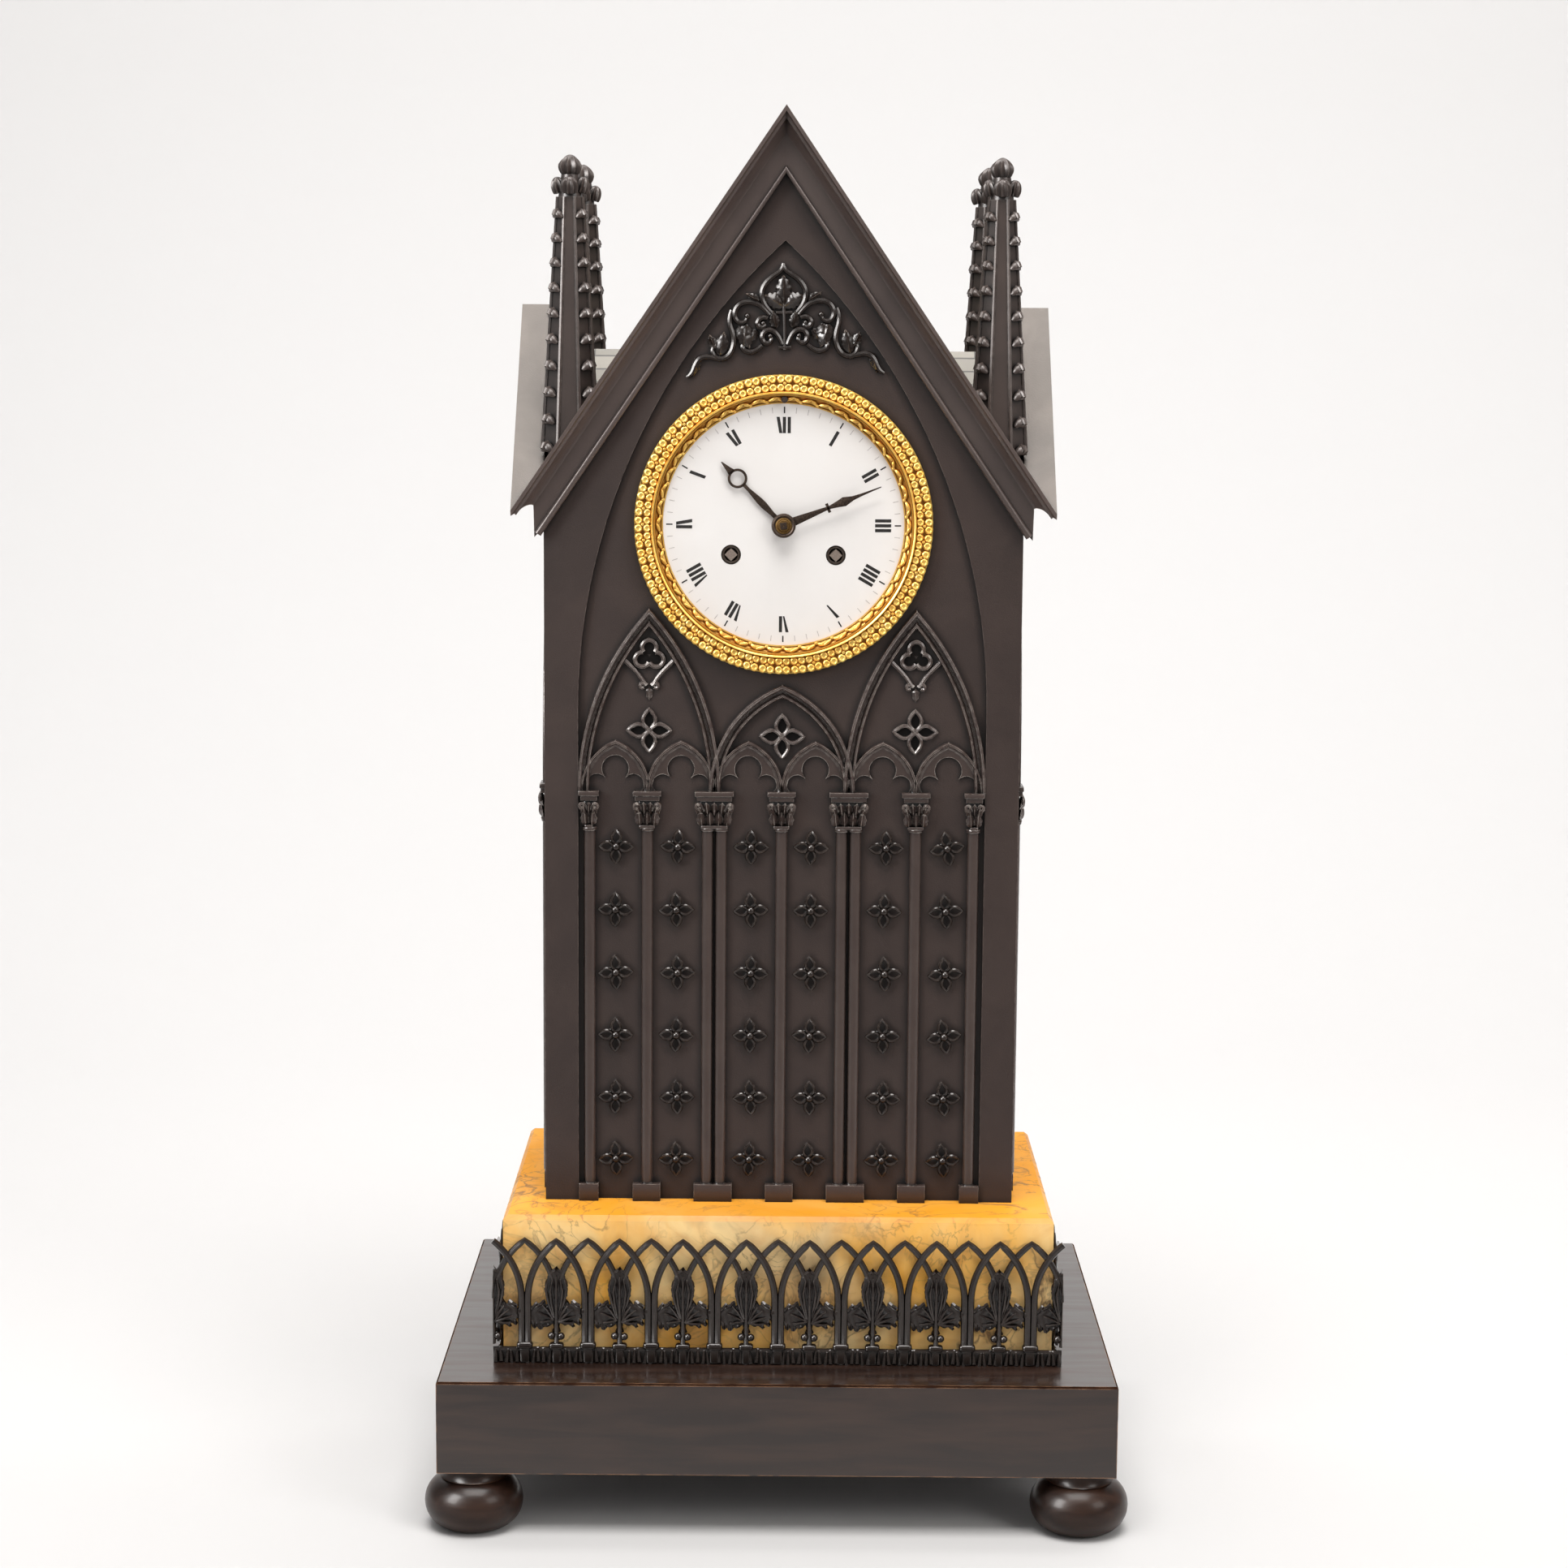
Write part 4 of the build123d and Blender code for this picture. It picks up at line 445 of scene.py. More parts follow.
def onFlank(x, side):
    turn = Matrix.Rotation(radians(90 * side), 4, "Z")
    return Matrix.Translation((x, 0, 0)) @ turn @ Matrix.Rotation(radians(90), 4, "X")


def raised(z):
    return Matrix.Translation((0, 0, z))


def at(x, y, z=0.0, turn=0.0):
    return Matrix.Translation((x, y, z)) @ Matrix.Rotation(radians(turn), 4, "Z")


def stamp(bm, mesh, place):
    placed = mesh.copy()
    placed.transform(place)
    bm.from_mesh(placed)
    bpy.data.meshes.remove(placed)


def everyPart(bm):
    return bm.verts[:] + bm.edges[:] + bm.faces[:]


# welds a finished drawing and points its faces outwards
def shape(bm):
    mesh = bpy.data.meshes.new("shape")
    bmesh.ops.remove_doubles(bm, verts=bm.verts, dist=weld)
    bmesh.ops.recalc_face_normals(bm, faces=bm.faces)
    bm.to_mesh(mesh)
    bm.free()
    return mesh


def evaluated(holder):
    bpy.context.view_layer.update()
    return bpy.data.meshes.new_from_object(holder.evaluated_get(bpy.context.evaluated_depsgraph_get()))


def fromCurve(curve):
    holder = bpy.data.objects.new("drawing", curve)
    scene.collection.objects.link(holder)
    mesh = evaluated(holder)
    bpy.data.objects.remove(holder)
    bpy.data.curves.remove(curve)
    return mesh


# a point is (across, up), then how far out and how thick, if given
def addSpline(curve, points, kind="POLY", cyclic=False):
    spline = curve.splines.new(kind)
    spline.points.add(len(points) - 1)
    for knot, point in zip(spline.points, points):
        out = point[2] if len(point) > 2 else 0.0
        knot.co = (point[0], point[1], out, 1.0)
        knot.radius = point[3] if len(point) > 3 else 1.0
    spline.use_cyclic_u = cyclic
    if kind == "NURBS":
        spline.order_u = 4
        spline.use_endpoint_u = not cyclic
        spline.resolution_u = 5


# a round wire along each path
def wire(paths, radius, kind="POLY", cyclic=False, sides=2):
    curve = bpy.data.curves.new("wire", "CURVE")
    curve.dimensions = "3D"
    curve.bevel_depth = radius
    curve.bevel_resolution = sides
    curve.use_fill_caps = True
    for path in paths:
        addSpline(curve, path, kind, cyclic)
    return fromCurve(curve)


# a moulding section along a flat path
def moulding(path, section):
    profile = bpy.data.curves.new("section", "CURVE")
    profile.dimensions = "2D"
    profile.fill_mode = "NONE"
    addSpline(profile, section, cyclic=True)
    profileHolder = bpy.data.objects.new("section", profile)
    scene.collection.objects.link(profileHolder)
    curve = bpy.data.curves.new("moulding", "CURVE")
    curve.dimensions = "2D"
    curve.fill_mode = "NONE"
    curve.bevel_mode = "OBJECT"
    curve.bevel_object = profileHolder
    curve.use_fill_caps = True
    addSpline(curve, path)
    mesh = fromCurve(curve)
    bpy.data.objects.remove(profileHolder)
    bpy.data.curves.remove(profile)
    return mesh


# a flat plate cut to closed outlines, the inner ones being holes
def cutPlate(outlines, thick, edge=0.0):
    curve = bpy.data.curves.new("plate", "CURVE")
    curve.dimensions = "2D"
    curve.fill_mode = "BOTH"
    curve.extrude = thick / 2 - edge
    curve.bevel_depth = edge
    curve.bevel_resolution = 1
    for outline in outlines:
        addSpline(curve, outline, cyclic=True)
    return fromCurve(curve)


def circlePath(x, y, radius, start=0.0, sweep=360.0, steps=24):
    count = steps if abs(sweep) >= 360 else steps + 1
    return [(x + radius * cos(radians(start + sweep * i / steps)),
             y + radius * sin(radians(start + sweep * i / steps))) for i in range(count)]


# a right half and its mirror image, as one outline
def bothSides(half):
    return half + [(-x, y) for x, y in reversed(half)]


# a path on the right and its mirror image on the left
def pairOf(path):
    return [[(side * x, *rest) for x, *rest in path] for side in (-1, 1)]


# one side of a pointed arch, from its foot to its point
def archSide(half, rise, steps=12):
    radius = (half**2 + rise**2) / (2 * half)
    reach = acos((radius - half) / radius)
    return [(half - radius + radius * cos(reach * i / steps), radius * sin(reach * i / steps))
            for i in range(steps + 1)]


def archPath(half, rise, leg=0.0):
    foot = [(half, -leg)] if leg else []
    right = foot + archSide(half, rise)
    return right + [(-x, y) for x, y in reversed(right[:-1])]


def between(pairs, run):
    for (lowRun, low), (highRun, high) in zip(pairs, pairs[1:]):
        if run <= highRun:
            return low + (high - low) * (run - lowRun) / (highRun - lowRun)
    return pairs[-1][1]


# a lobed leaf: a grid pulled to an outline, domed, ribbed and given thickness
leafForm = {"veinSharp": 3.2, "ribTall": 0.036, "ribSlant": 0.3, "toothDrop": 0.025, "weld": 0.001}


def leafShape(length, width, teeth, dome=0.16, curl=0.0, thick=0.7, rows=12, columns=6, vein=0.5, swell=0.75,
              full=0.75, bite=0.26, widths=()):
    f = leafForm
    bm = bmesh.new()
    grid = bmesh.ops.create_grid(bm, x_segments=columns, y_segments=rows, size=1.0)
    for vert in grid["verts"]:
        side = vert.co.x
        run = (vert.co.y + 1) / 2
        outline = between(widths, run) if widths else max(sin(pi * run**swell), 0.0) ** full
        notch = 1.0 - bite * abs(side) ** 3 * (0.5 + 0.5 * cos(2 * pi * teeth * run))
        across = side * width / 2 * outline * notch
        ridge = vein * max(0.0, 1 - abs(side) * f["veinSharp"]) * outline
        wave = cos(2 * pi * teeth * (run + f["ribSlant"] * abs(side)))
        ribs = f["ribTall"] * width * wave * abs(side)
        vert.co = (across, length * run - f["toothDrop"] * abs(side) * teeth,
                   dome * width * (1 - side**2) * outline + ridge + ribs + curl * run**2)
    bmesh.ops.remove_doubles(bm, verts=bm.verts, dist=f["weld"])
    bmesh.ops.recalc_face_normals(bm, faces=bm.faces)
    bmesh.ops.solidify(bm, geom=bm.faces[:], thickness=thick)
    return shape(bm)


def roundEdges(bm, edges, offset, segments):
    bmesh.ops.bevel(bm, geom=edges, offset=offset, segments=segments, profile=0.5, affect="EDGES",
                    material=-1)


def block(bm, low, high, edge=0.0, segments=2):
    centre = [(a + b) / 2 for a, b in zip(low, high)]
    size = [b - a for a, b in zip(low, high)]
    place = Matrix.Translation(centre) @ Matrix.Diagonal((*size, 1))
    made = bmesh.ops.create_cube(bm, size=1.0, matrix=place)
    if edge:
        roundEdges(bm, list({e for v in made["verts"] for e in v.link_edges}), edge, segments)


def ball(bm, place, radius, around=10, up=6):
    made = bmesh.ops.create_uvsphere(bm, u_segments=around, v_segments=up, radius=radius, matrix=place)
    return made["verts"]


# a shape turned about its own upright axis, from (radius, height) points
def turned(bm, points, place, steps=48):
    lathe = bmesh.new()
    verts = [lathe.verts.new((radius, 0, height)) for radius, height in points]
    edges = [lathe.edges.new(pair) for pair in zip(verts, verts[1:])]
    bmesh.ops.spin(lathe, geom=verts + edges, cent=(0, 0, 0), axis=(0, 0, 1), angle=2 * pi, steps=steps,
                   use_merge=True, use_duplicate=False)
    stamp(bm, shape(lathe), place)


def piece(name, bm, material, body="case", replaced=(), sharp=38.0):
    bmesh.ops.remove_doubles(bm, verts=bm.verts, dist=weld)
    bmesh.ops.recalc_face_normals(bm, faces=bm.faces)
    bmesh.ops.transform(bm, matrix=Matrix.Scale(1 / perMetre, 4), verts=bm.verts)
    mesh = bpy.data.meshes.new(name)
    bm.to_mesh(mesh)
    bm.free()
    for face in mesh.polygons:
        face.use_smooth = True
    mesh.set_sharp_from_angle(angle=radians(sharp))
    mesh.materials.append(material)
    made = bpy.data.objects.new(name, mesh)
    scene.collection.objects.link(made)
    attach(made, body)
    if replaced:
        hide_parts(*replaced)


# pierced gallery: round-sectioned lancets in two interlaced series, a vine leaf in each bay
gallery = {"height": edgeOf("gallery_front", "z", max) - level["slabTop"], "spring": 26.0, "rod": 1.38,
           "backRod": 1.25, "pair": 1.25, "backInset": 0.4, "postFoot": 7.5, "lift": 0.5, "band": 5.4,
           "bandBack": -1.2, "bandFront": 0.5, "bandEdge": 0.3, "bandBead": 1.0, "proud": 0.2,
           "ribPitch": 2.1, "ribUp": 0.2, "ribShift": 0.5, "ribLean": 7,
           "leafFoot": 9.4, "leafTall": 28.4, "leafWide": 9.6, "lobeTall": 10.6, "lobeWide": 12.8,
           "lobeFoot": 7.8, "leafThick": 0.9, "stalk": 0.75, "berry": 1.55, "fanRise": 1.2, "fanSpread": 0.6,
           "frontBays": 9, "flankBays": 6, "flankThin": 0.5}
bandRib = {"low": (-0.8, -0.1, 0.0), "high": (0.8, 5.8, 2.0), "topShrink": (0.6, 1, 0.5), "rounding": 0.35}
# how wide a leaf is along its length
middleWidths = [(0, 0.2), (0.2, 0.26), (0.36, 0.46), (0.5, 0.7), (0.62, 0.92), (0.74, 1.0), (0.84, 0.96),
                (0.91, 0.78), (0.96, 0.5), (1, 0.08)]
lobeWidths = [(0, 0.24), (0.2, 0.62), (0.45, 1.0), (0.7, 0.95), (0.88, 0.66), (1, 0.12)]
# raised lines on a leaf: across, up, out, thickness
leafStalk = [(0, -1.5, 0.8, 1.5), (0.1, 2, 1.0, 1.3), (0, 8, 1.2, 0.9), (0, 18, 1.3, 0.7), (0, 26, 1.2, 0.3)]
leafVein = [(0.7, 9, 1.0, 0.4), (1.9, 15, 1.2, 0.7), (2.5, 20, 1.2, 0.6), (1.5, 25, 1.1, 0.2)]
leafRim = [(1.1, 9, 1.0, 0.4), (3.2, 16, 1.3, 0.7), (4.2, 21, 1.3, 0.7), (3.4, 24.4, 1.2, 0.3)]
# veins that fan over a side lobe from one root; the bend and the end give out and thickness
flatFan = {"side": -1, "root": (-1.0, 8.2, 1.1, 0.5), "bend": (1.2, 0.5), "end": (1.1, 0.2), "reach": 1.6,
           "middle": 7.0, "tips": ((3.4, 10.8), (4.6, 8.8), (4.0, 6.4))}
curledFan = {"side": 1, "root": (1.0, 7.6, 1.4, 0.7), "bend": (2.0, 0.9), "end": (1.9, 0.4), "reach": 1.7,
             "middle": 6.0, "tips": ((2.6, 10.4), (3.8, 9.4), (4.6, 7.8), (4.2, 6.0))}
berrySpots = ((-1.9, 1.9, 1.3), (1.9, 1.7, 1.3))
# knops on the band: half width, bottom, top, back, front, rounding, its segments
postKnops = ((3.2, 5.8, 8.7, -1.2, 2.7, 1.2, 3), (1.9, 0.2, 6.4, -1.0, 2.3, 0.9, 2))
leafKnops = ((2.9, 5.6, 8.3, -1.0, 2.7, 1.1, 3), (1.6, 0.0, 6.2, -1.0, 2.3, 0.8, 2))


# a tapered upright rib of the band
def ribShape():
    r = bandRib
    bm = bmesh.new()
    block(bm, r["low"], r["high"])
    bmesh.ops.scale(bm, vec=r["topShrink"], verts=[v for v in bm.verts if v.co.y > 0])
    roundEdges(bm, [e for e in bm.edges if min(v.co.z for v in e.verts) > 0], r["rounding"], 1)
    return shape(bm)


def fanLines(fan):
    lines = []
    for x, y in fan["tips"]:
        up = y + gallery["fanRise"]
        bend = (fan["side"] * x, up, *fan["bend"])
        end = (fan["side"] * fan["reach"] * x, up + gallery["fanSpread"] * (y - fan["middle"]), *fan["end"])
        lines.append([fan["root"], bend, end])
    return lines


def vineLeaf():
    g = gallery
    bm = bmesh.new()
    middle = leafShape(g["leafTall"], g["leafWide"], 7, dome=0.0, vein=0.0, thick=g["leafThick"], rows=36,
                       columns=8, bite=0.2, widths=middleWidths)
    stamp(bm, middle, at(0, 0, 0.3))
    # one side lobe lies flat, the other curls forward
    for side, out, turn, dome, curl in ((-1, 0.2, 70, 0.0, 0.0), (1, 0.4, -60, 0.06, 0.6)):
        lobe = leafShape(g["lobeTall"], g["lobeWide"], 4, dome=dome, vein=0.0, curl=curl,
                         thick=g["leafThick"], rows=24, columns=10, bite=0.4, widths=lobeWidths)
        stamp(bm, lobe, at(side * 0.4, g["lobeFoot"], out, turn))
    lines = [leafStalk, *pairOf(leafVein), *pairOf(leafRim), *fanLines(flatFan), *fanLines(curledFan)]
    stamp(bm, wire(lines, g["stalk"]), asDrawn)
    for spot in berrySpots:
        ball(bm, Matrix.Translation(spot), g["berry"])
    return shape(bm)


galleryRib = ribShape()
galleryLeaf = vineLeaf()


def galleryRun(name, half, bays, place, node):
    g = gallery
    bm = bmesh.new()
    length = 2 * half
    pitch = length / bays
    posts = [(i - (bays - 1) / 2) * pitch for i in range(bays)]
    middles = [(i - bays / 2) * pitch for i in range(bays + 1)]
    rise = g["height"] - g["spring"] - g["rod"]
    fore = archPath(pitch / 2 - g["pair"], rise, g["spring"] - g["postFoot"])
    back = archPath(pitch / 2 - g["backInset"], rise)
    forePaths = []
    for middle in middles:
        path = [(middle + x, g["spring"] + y, g["lift"]) for x, y in fore]
        forePaths.append([p for p in path if abs(p[0]) <= half + 0.01])  # end arches stop at the corner
    stamp(bm, wire(forePaths, g["rod"]), place)
    backPaths = [[(post + x, g["spring"] + y, -g["lift"]) for x, y in back] for post in posts]
    stamp(bm, wire(backPaths, g["backRod"]), place)
    strip = bmesh.new()
    block(strip, (-half, 0, g["bandBack"]), (half, g["band"], g["bandFront"]), g["bandEdge"])
    stamp(bm, shape(strip), place)
    bead = [(side * half, g["band"], g["proud"]) for side in (-1, 1)]
    stamp(bm, wire([bead], g["bandBead"]), place)
    ribs = int(length / g["ribPitch"])
    for i in range(ribs):
        x = -half + (i + 0.5) * length / ribs
        up = g["ribUp"] + g["ribShift"] * sin(i * 1.7)  # ribs stand unevenly, as if cut by hand
        stamp(bm, galleryRib, place @ at(x, up, g["proud"], g["ribLean"] * sin(i * 2.4)))
    caps = bmesh.new()
    for spots, knops in ((posts, postKnops), (middles[1:-1], leafKnops)):
        for x in spots:
            for wide, low, high, behind, front, edge, segments in knops:
                block(caps, (x - wide, low, behind), (x + wide, high, front), edge, segments)
    stamp(bm, shape(caps), place)
    for middle in middles:
        cut = bmesh.new()
        cut.from_mesh(galleryLeaf)
        bmesh.ops.transform(cut, matrix=at(middle, g["leafFoot"], g["proud"]), verts=cut.verts)
        for edge in (-half, half):
            if abs(middle - edge) < 1:  # half a leaf at each end
                bmesh.ops.bisect_plane(cut, geom=everyPart(cut), plane_co=(edge, 0, 0), plane_no=(edge, 0, 0),
                                       clear_outer=True)
                bmesh.ops.holes_fill(cut, edges=[e for e in cut.edges if e.is_boundary], sides=0)
        stamp(bm, shape(cut), place)
    piece(name, bm, castBronze, replaced=(node,))


def galleries():
    foot = raised(level["slabTop"])
    frontHalf = edgeOf("gallery_front", "x", max)
    place = foot @ onFront(middleOf("gallery_front", "y"))
    galleryRun("galleryFront", frontHalf, gallery["frontBays"], place, "gallery_front")
    thinner = Matrix.Diagonal((1, 1, gallery["flankThin"], 1))
    flankHalf = edgeOf("gallery_right", "y", max)
    for name, node, side in (("galleryRight", "gallery_right", 1), ("galleryLeft", "gallery_left", -1)):
        wall = onFlank(side * edgeOf("gallery_right", "x", min), side)
        galleryRun(name, flankHalf, gallery["flankBays"], foot @ wall @ thinner, node)


galleries()
print("gallery built")

# bun feet
bun = {"radius": 19.4, "tall": 20.5, "squash": 0.92, "flat": 9.0, "neck": 12.0, "collar": 1.2,
       "collarUp": 20.4, "neckUp": 21.6, "steps": 16, "around": 56}


def bunFeet():
    b = bun
    bm = bmesh.new()
    half = b["tall"] / 2
    bulge = half * b["squash"]
    top = edgeOf("bun_feet", "z", max)
    profile = [(0, 0), (b["flat"], 0)]
    for i in range(1, b["steps"]):
        turn = -pi / 2 + pi * i / b["steps"]
        profile.append((b["radius"] - bulge + bulge * cos(turn), half + half * sin(turn)))
    neck = b["neck"]
    profile += [(neck + b["collar"], b["collarUp"]), (neck, b["neckUp"]), (neck, top), (0, top)]
    x, y = [edgeOf("bun_feet", axis, max) - b["radius"] for axis in "xy"]
    for sx in (-1, 1):
        for sy in (-1, 1):
            turned(bm, profile, Matrix.Translation((sx * x, sy * y, 0)), b["around"])
    piece("bunFeet", bm, turnedWood, replaced=("bun_feet",), sharp=50)


bunFeet()

# blind arcade: columns, leafy capitals, moulded arches and cusped heads
arcade = {"bay": 26.6, "edge": 78.5, "shaft": 2.4, "twin": 2.65, "stand": 0.9, "footTall": 7.1,
          "footWide": 11.1, "reach": 4.4, "capWide": 11.2, "twinExtra": 4.2,
          "recessHalf": edgeOf("arcade_columns", "x", max), "edgeFoot": 7.8, "edgeCap": 4.0,
          "edgeCapShare": 0.72, "sideRise": 68.6, "middleRise": 39.8,
          "smallRise": 18.4, "smallInset": 0.8, "headRise": 17.6, "headInset": 0.2, "headThick": 1.4,
          "headOut": 0.5, "archSteps": 14, "overrun": 4, "ringFoot": 1.6, "shaftSunk": 0.5, "curlWire": 0.8}
cusp = {"low": -0.5, "rim": 1.5, "sideIn": 5.1, "sideUp": 2.6, "sideRadius": 4.0, "sideStart": -40,
        "sideSweep": 179, "topUp": 8.8, "topRadius": 5.3, "topStart": -40.7, "topSweep": 261.4}
bigSection = [(-2.5, 0), (-2.5, 2.1), (-2.1, 2.9), (-1.4, 3.1), (-0.8, 2.7), (-0.45, 1.7), (0.3, 1.4),
              (0.8, 1.9), (1.2, 2.5), (1.8, 2.6), (2.3, 2.0), (2.4, 0)]
smallSection = [(-1.6, 0), (-1.6, 1.6), (-1.2, 2.3), (-0.5, 2.3), (0.0, 1.5), (0.7, 1.3), (1.2, 0.9),
                (1.3, 0)]
shaftRing = ((2.9, 1.5), (3.1, 0.9), (2.9, 0.3))  # under a capital: radius, how far below it
# scroll under a capital's corner: in from its side, up, out, thickness
capitalCurl = ((3.6, 6.6, 3.4, 0.5), (2.8, 9.2, 3.9, 0.8), (0.9, 9.7, 4.2, 1.0), (0.3, 8.0, 4.2, 1.0),
               (1.5, 7.2, 4.2, 0.9), (1.8, 8.3, 4.3, 0.7))


# half an arch runs past its point, is cut on the middle line and mirrored
def archBand(half, rise, section):
    side = archSide(half, rise, arcade["archSteps"])
    ahead = Vector(side[-1]) - Vector(side[-2])
    side.append(tuple(Vector(side[-1]) + ahead.normalized() * arcade["overrun"]))
    bm = bmesh.new()
    stamp(bm, moulding(side, [(-x, y) for x, y in section]), asDrawn)
    bmesh.ops.bisect_plane(bm, geom=everyPart(bm), plane_co=(0, 0, 0), plane_no=(-1, 0, 0), clear_outer=True)
    bmesh.ops.mirror(bm, geom=everyPart(bm), axis="X", merge_dist=0.01)
    return shape(bm)


def cuspedHead(half, rise):
    c = cusp
    low = c["low"]
    sideLobe = circlePath(half - c["sideIn"], c["sideUp"], c["sideRadius"], c["sideStart"], c["sideSweep"],
                          12)
    topLobe = circlePath(0.0, c["topUp"], c["topRadius"], c["topStart"], c["topSweep"], 22)
    opening = [(half - c["rim"], low)] + sideLobe + topLobe
    opening += [(-x, y) for x, y in reversed(sideLobe)] + [(-half + c["rim"], low)]
    outer = [(half, low)] + archPath(half, rise) + [(-half, low)]
    return cutPlate([outer + list(reversed(opening))], arcade["headThick"])


def capitalShape(width, lobes):
    bm = bmesh.new()
    half = width / 2
    reach = arcade["reach"]
    # abacus, its underside, bell and neck ring: inset, bottom, top, front, rounding
    for inset, low, high, front, edge in ((0.0, 12.4, level["capitalTall"], reach, 0.25),
                                          (0.7, 10.4, 12.6, reach - 0.5, 0.3),
                                          (2.0, 1.6, 10.6, 2.4, 0.8), (2.4, -0.6, 0.9, 3.9, 0.6)):
        block(bm, (inset - half, low, 0), (half - inset, high, front), edge)
    lower = leafShape(5.0, 3.2, 3, dome=0.26, curl=1.0, thick=0.6, rows=10, vein=0.7)
    upper = leafShape(4.8, 2.9, 3, dome=0.3, curl=1.6, thick=0.6, rows=10, vein=0.7)
    # two rows of leaves that fan out to the sides: leaf, gaps, side margins, up, out, fan
    rows = ((lower, lobes, 5.6, 1.0, 2.3, -20), (upper, lobes + 1, 5.0, 5.0, 2.2, -44))
    for leaf, gaps, margin, up, out, fan in rows:
        for i in range(gaps + 1):
            x = (i - gaps / 2) * (width - margin) / gaps
            stamp(bm, leaf, at(x, up, out, fan * x / width))
    curls = pairOf([(half - inset, *rest) for inset, *rest in capitalCurl])
    stamp(bm, wire(curls, arcade["curlWire"], "NURBS"), asDrawn)
    return shape(bm)


capitalSingle = capitalShape(arcade["capWide"], 2)
capitalTwin = capitalShape(arcade["capWide"] + arcade["twinExtra"], 3)
capitalEdge = capitalShape(arcade["capWide"] * arcade["edgeCapShare"], 1)


def shaftsInto(bm, spots, place):
    shaft, top = arcade["shaft"], capitalFoot
    profile = [(shaft, arcade["footTall"] - arcade["shaftSunk"]), (shaft, top - arcade["ringFoot"])]
    profile += [(radius, top - below) for radius, below in shaftRing] + [(shaft, top)]
    for x in spots:
        upright = Matrix.Translation((x, 0, arcade["stand"])) @ Matrix.Rotation(radians(-90), 4, "X")
        turned(bm, profile, place @ upright, 24)


def columnFoot(bm, x, width, reach, place):
    base = bmesh.new()
    block(base, (x - width / 2, 0, 0), (x + width / 2, arcade["footTall"], reach), 0.15)
    stamp(bm, shape(base), place)


def onPanel(z):
    return raised(z) @ onFront(level["panelFront"])


def frontColumns():
    a = arcade
    place = onPanel(level["caseBottom"])
    bm = bmesh.new()
    edge = a["edge"] - a["shaft"]
    singles = (-2 * a["bay"], 0, 2 * a["bay"])
    twins = (-a["bay"], a["bay"])
    shafts = [*singles, -edge, edge] + [t + s * a["twin"] for t in twins for s in (-1, 1)]
    shaftsInto(bm, shafts, place)
    for spots, extra, capital in ((singles, 0.0, capitalSingle), (twins, a["twinExtra"], capitalTwin)):
        for x in spots:
            columnFoot(bm, x, a["footWide"] + extra, a["reach"], place)
            stamp(bm, capital, place @ at(x, capitalFoot))
    for side in (-1, 1):
        columnFoot(bm, side * (a["recessHalf"] - a["edgeFoot"] / 2), a["edgeFoot"], a["reach"], place)
        stamp(bm, capitalEdge, place @ at(side * (a["recessHalf"] - a["edgeCap"]), capitalFoot))
    piece("arcadeColumns", bm, arcadeSheenBronze, replaced=("arcade_columns",))


def frontArches():
    a = arcade
    place = onPanel(level["caseBottom"])
    bm = bmesh.new()
    sideHalf = (a["edge"] - a["bay"]) / 2
    sideMiddle = (a["edge"] + a["bay"]) / 2
    for x, half, rise in ((-sideMiddle, sideHalf, a["sideRise"]), (sideMiddle, sideHalf, a["sideRise"]),
                          (0, a["bay"], a["middleRise"])):
        stamp(bm, archBand(half, rise, bigSection), place @ at(x, capitalUp))
    smallHalf = a["bay"] / 2 - a["smallInset"]
    band = archBand(smallHalf, a["smallRise"], smallSection)
    head = cuspedHead(smallHalf - a["headInset"], a["headRise"])
    lastBay = (2 * a["bay"] + a["edge"]) / 2
    for x in (a["bay"] / 2, 1.5 * a["bay"], lastBay):
        for side in (-1, 1):
            stamp(bm, band, place @ at(side * x, capitalUp))
            stamp(bm, head, place @ at(side * x, capitalUp, arcade["headOut"]))
    piece("arcadeArches", bm, arcadeSheenBronze, replaced=("arcade_arches",))


frontColumns()
frontArches()
print("arcade built")

# foils in the spandrels: wire outlines over dark plates of painted shade, for the deep hollows inside them
foils = {"side": (arcade["edge"] + arcade["bay"]) / 2, "quatreUp": 24.0, "midUp": 21.9, "treUp": 53.7,
         "petalStart": 0.6, "petal": 8.4, "petalHalf": 2.5, "petalLift": 0.3, "wire": 0.8, "out": 0.7,
         "lobeOut": 3.2, "lobe": 2.9, "lobeSweep": 252, "lobeWire": 1.0, "armWire": 0.9, "curlWire": 0.85,
         "leafTall": 5.4, "leafWide": 3.4, "leafDown": 12.4, "leafOut": 0.4, "ground": 0.2, "groundOut": 0.05}
# stem of the trefoil and the curls at its foot: across, up, out, thickness
trefoilArm = [(10.0, -1.6, 0.7, 1.3), (7.0, -4.4, 0.8, 1.0), (3.8, -7.2, 0.8, 1.0), (1.4, -12.0, 0.8, 1.0)]
trefoilCurl = [(0.8, -11.6, 0.8, 0.8), (2.6, -10.4, 1.0, 1.0), (3.9, -11.6, 1.0, 1.0), (3.2, -13.2, 1.0, 1.0),
               (2.0, -12.6, 1.0, 0.8)]


def pointedLoop(start, length, half, lift=0.0, steps=14):
    path = []
    for i in range(steps + 1):
        run = i / steps
        path.append((half * sin(pi * run**0.85) ** 0.9, start + (length - start) * run, lift * sin(pi * run)))
    return path + [(-x, y, z) for x, y, z in reversed(path[1:-1])]


def foilPetal(lift=0.0):
    return pointedLoop(foils["petalStart"], foils["petal"], foils["petalHalf"], lift)


def lobeSpots():
    return [(turn, foils["lobeOut"] * cos(radians(turn)), foils["lobeOut"] * sin(radians(turn)))
            for turn in (90, 210, 330)]


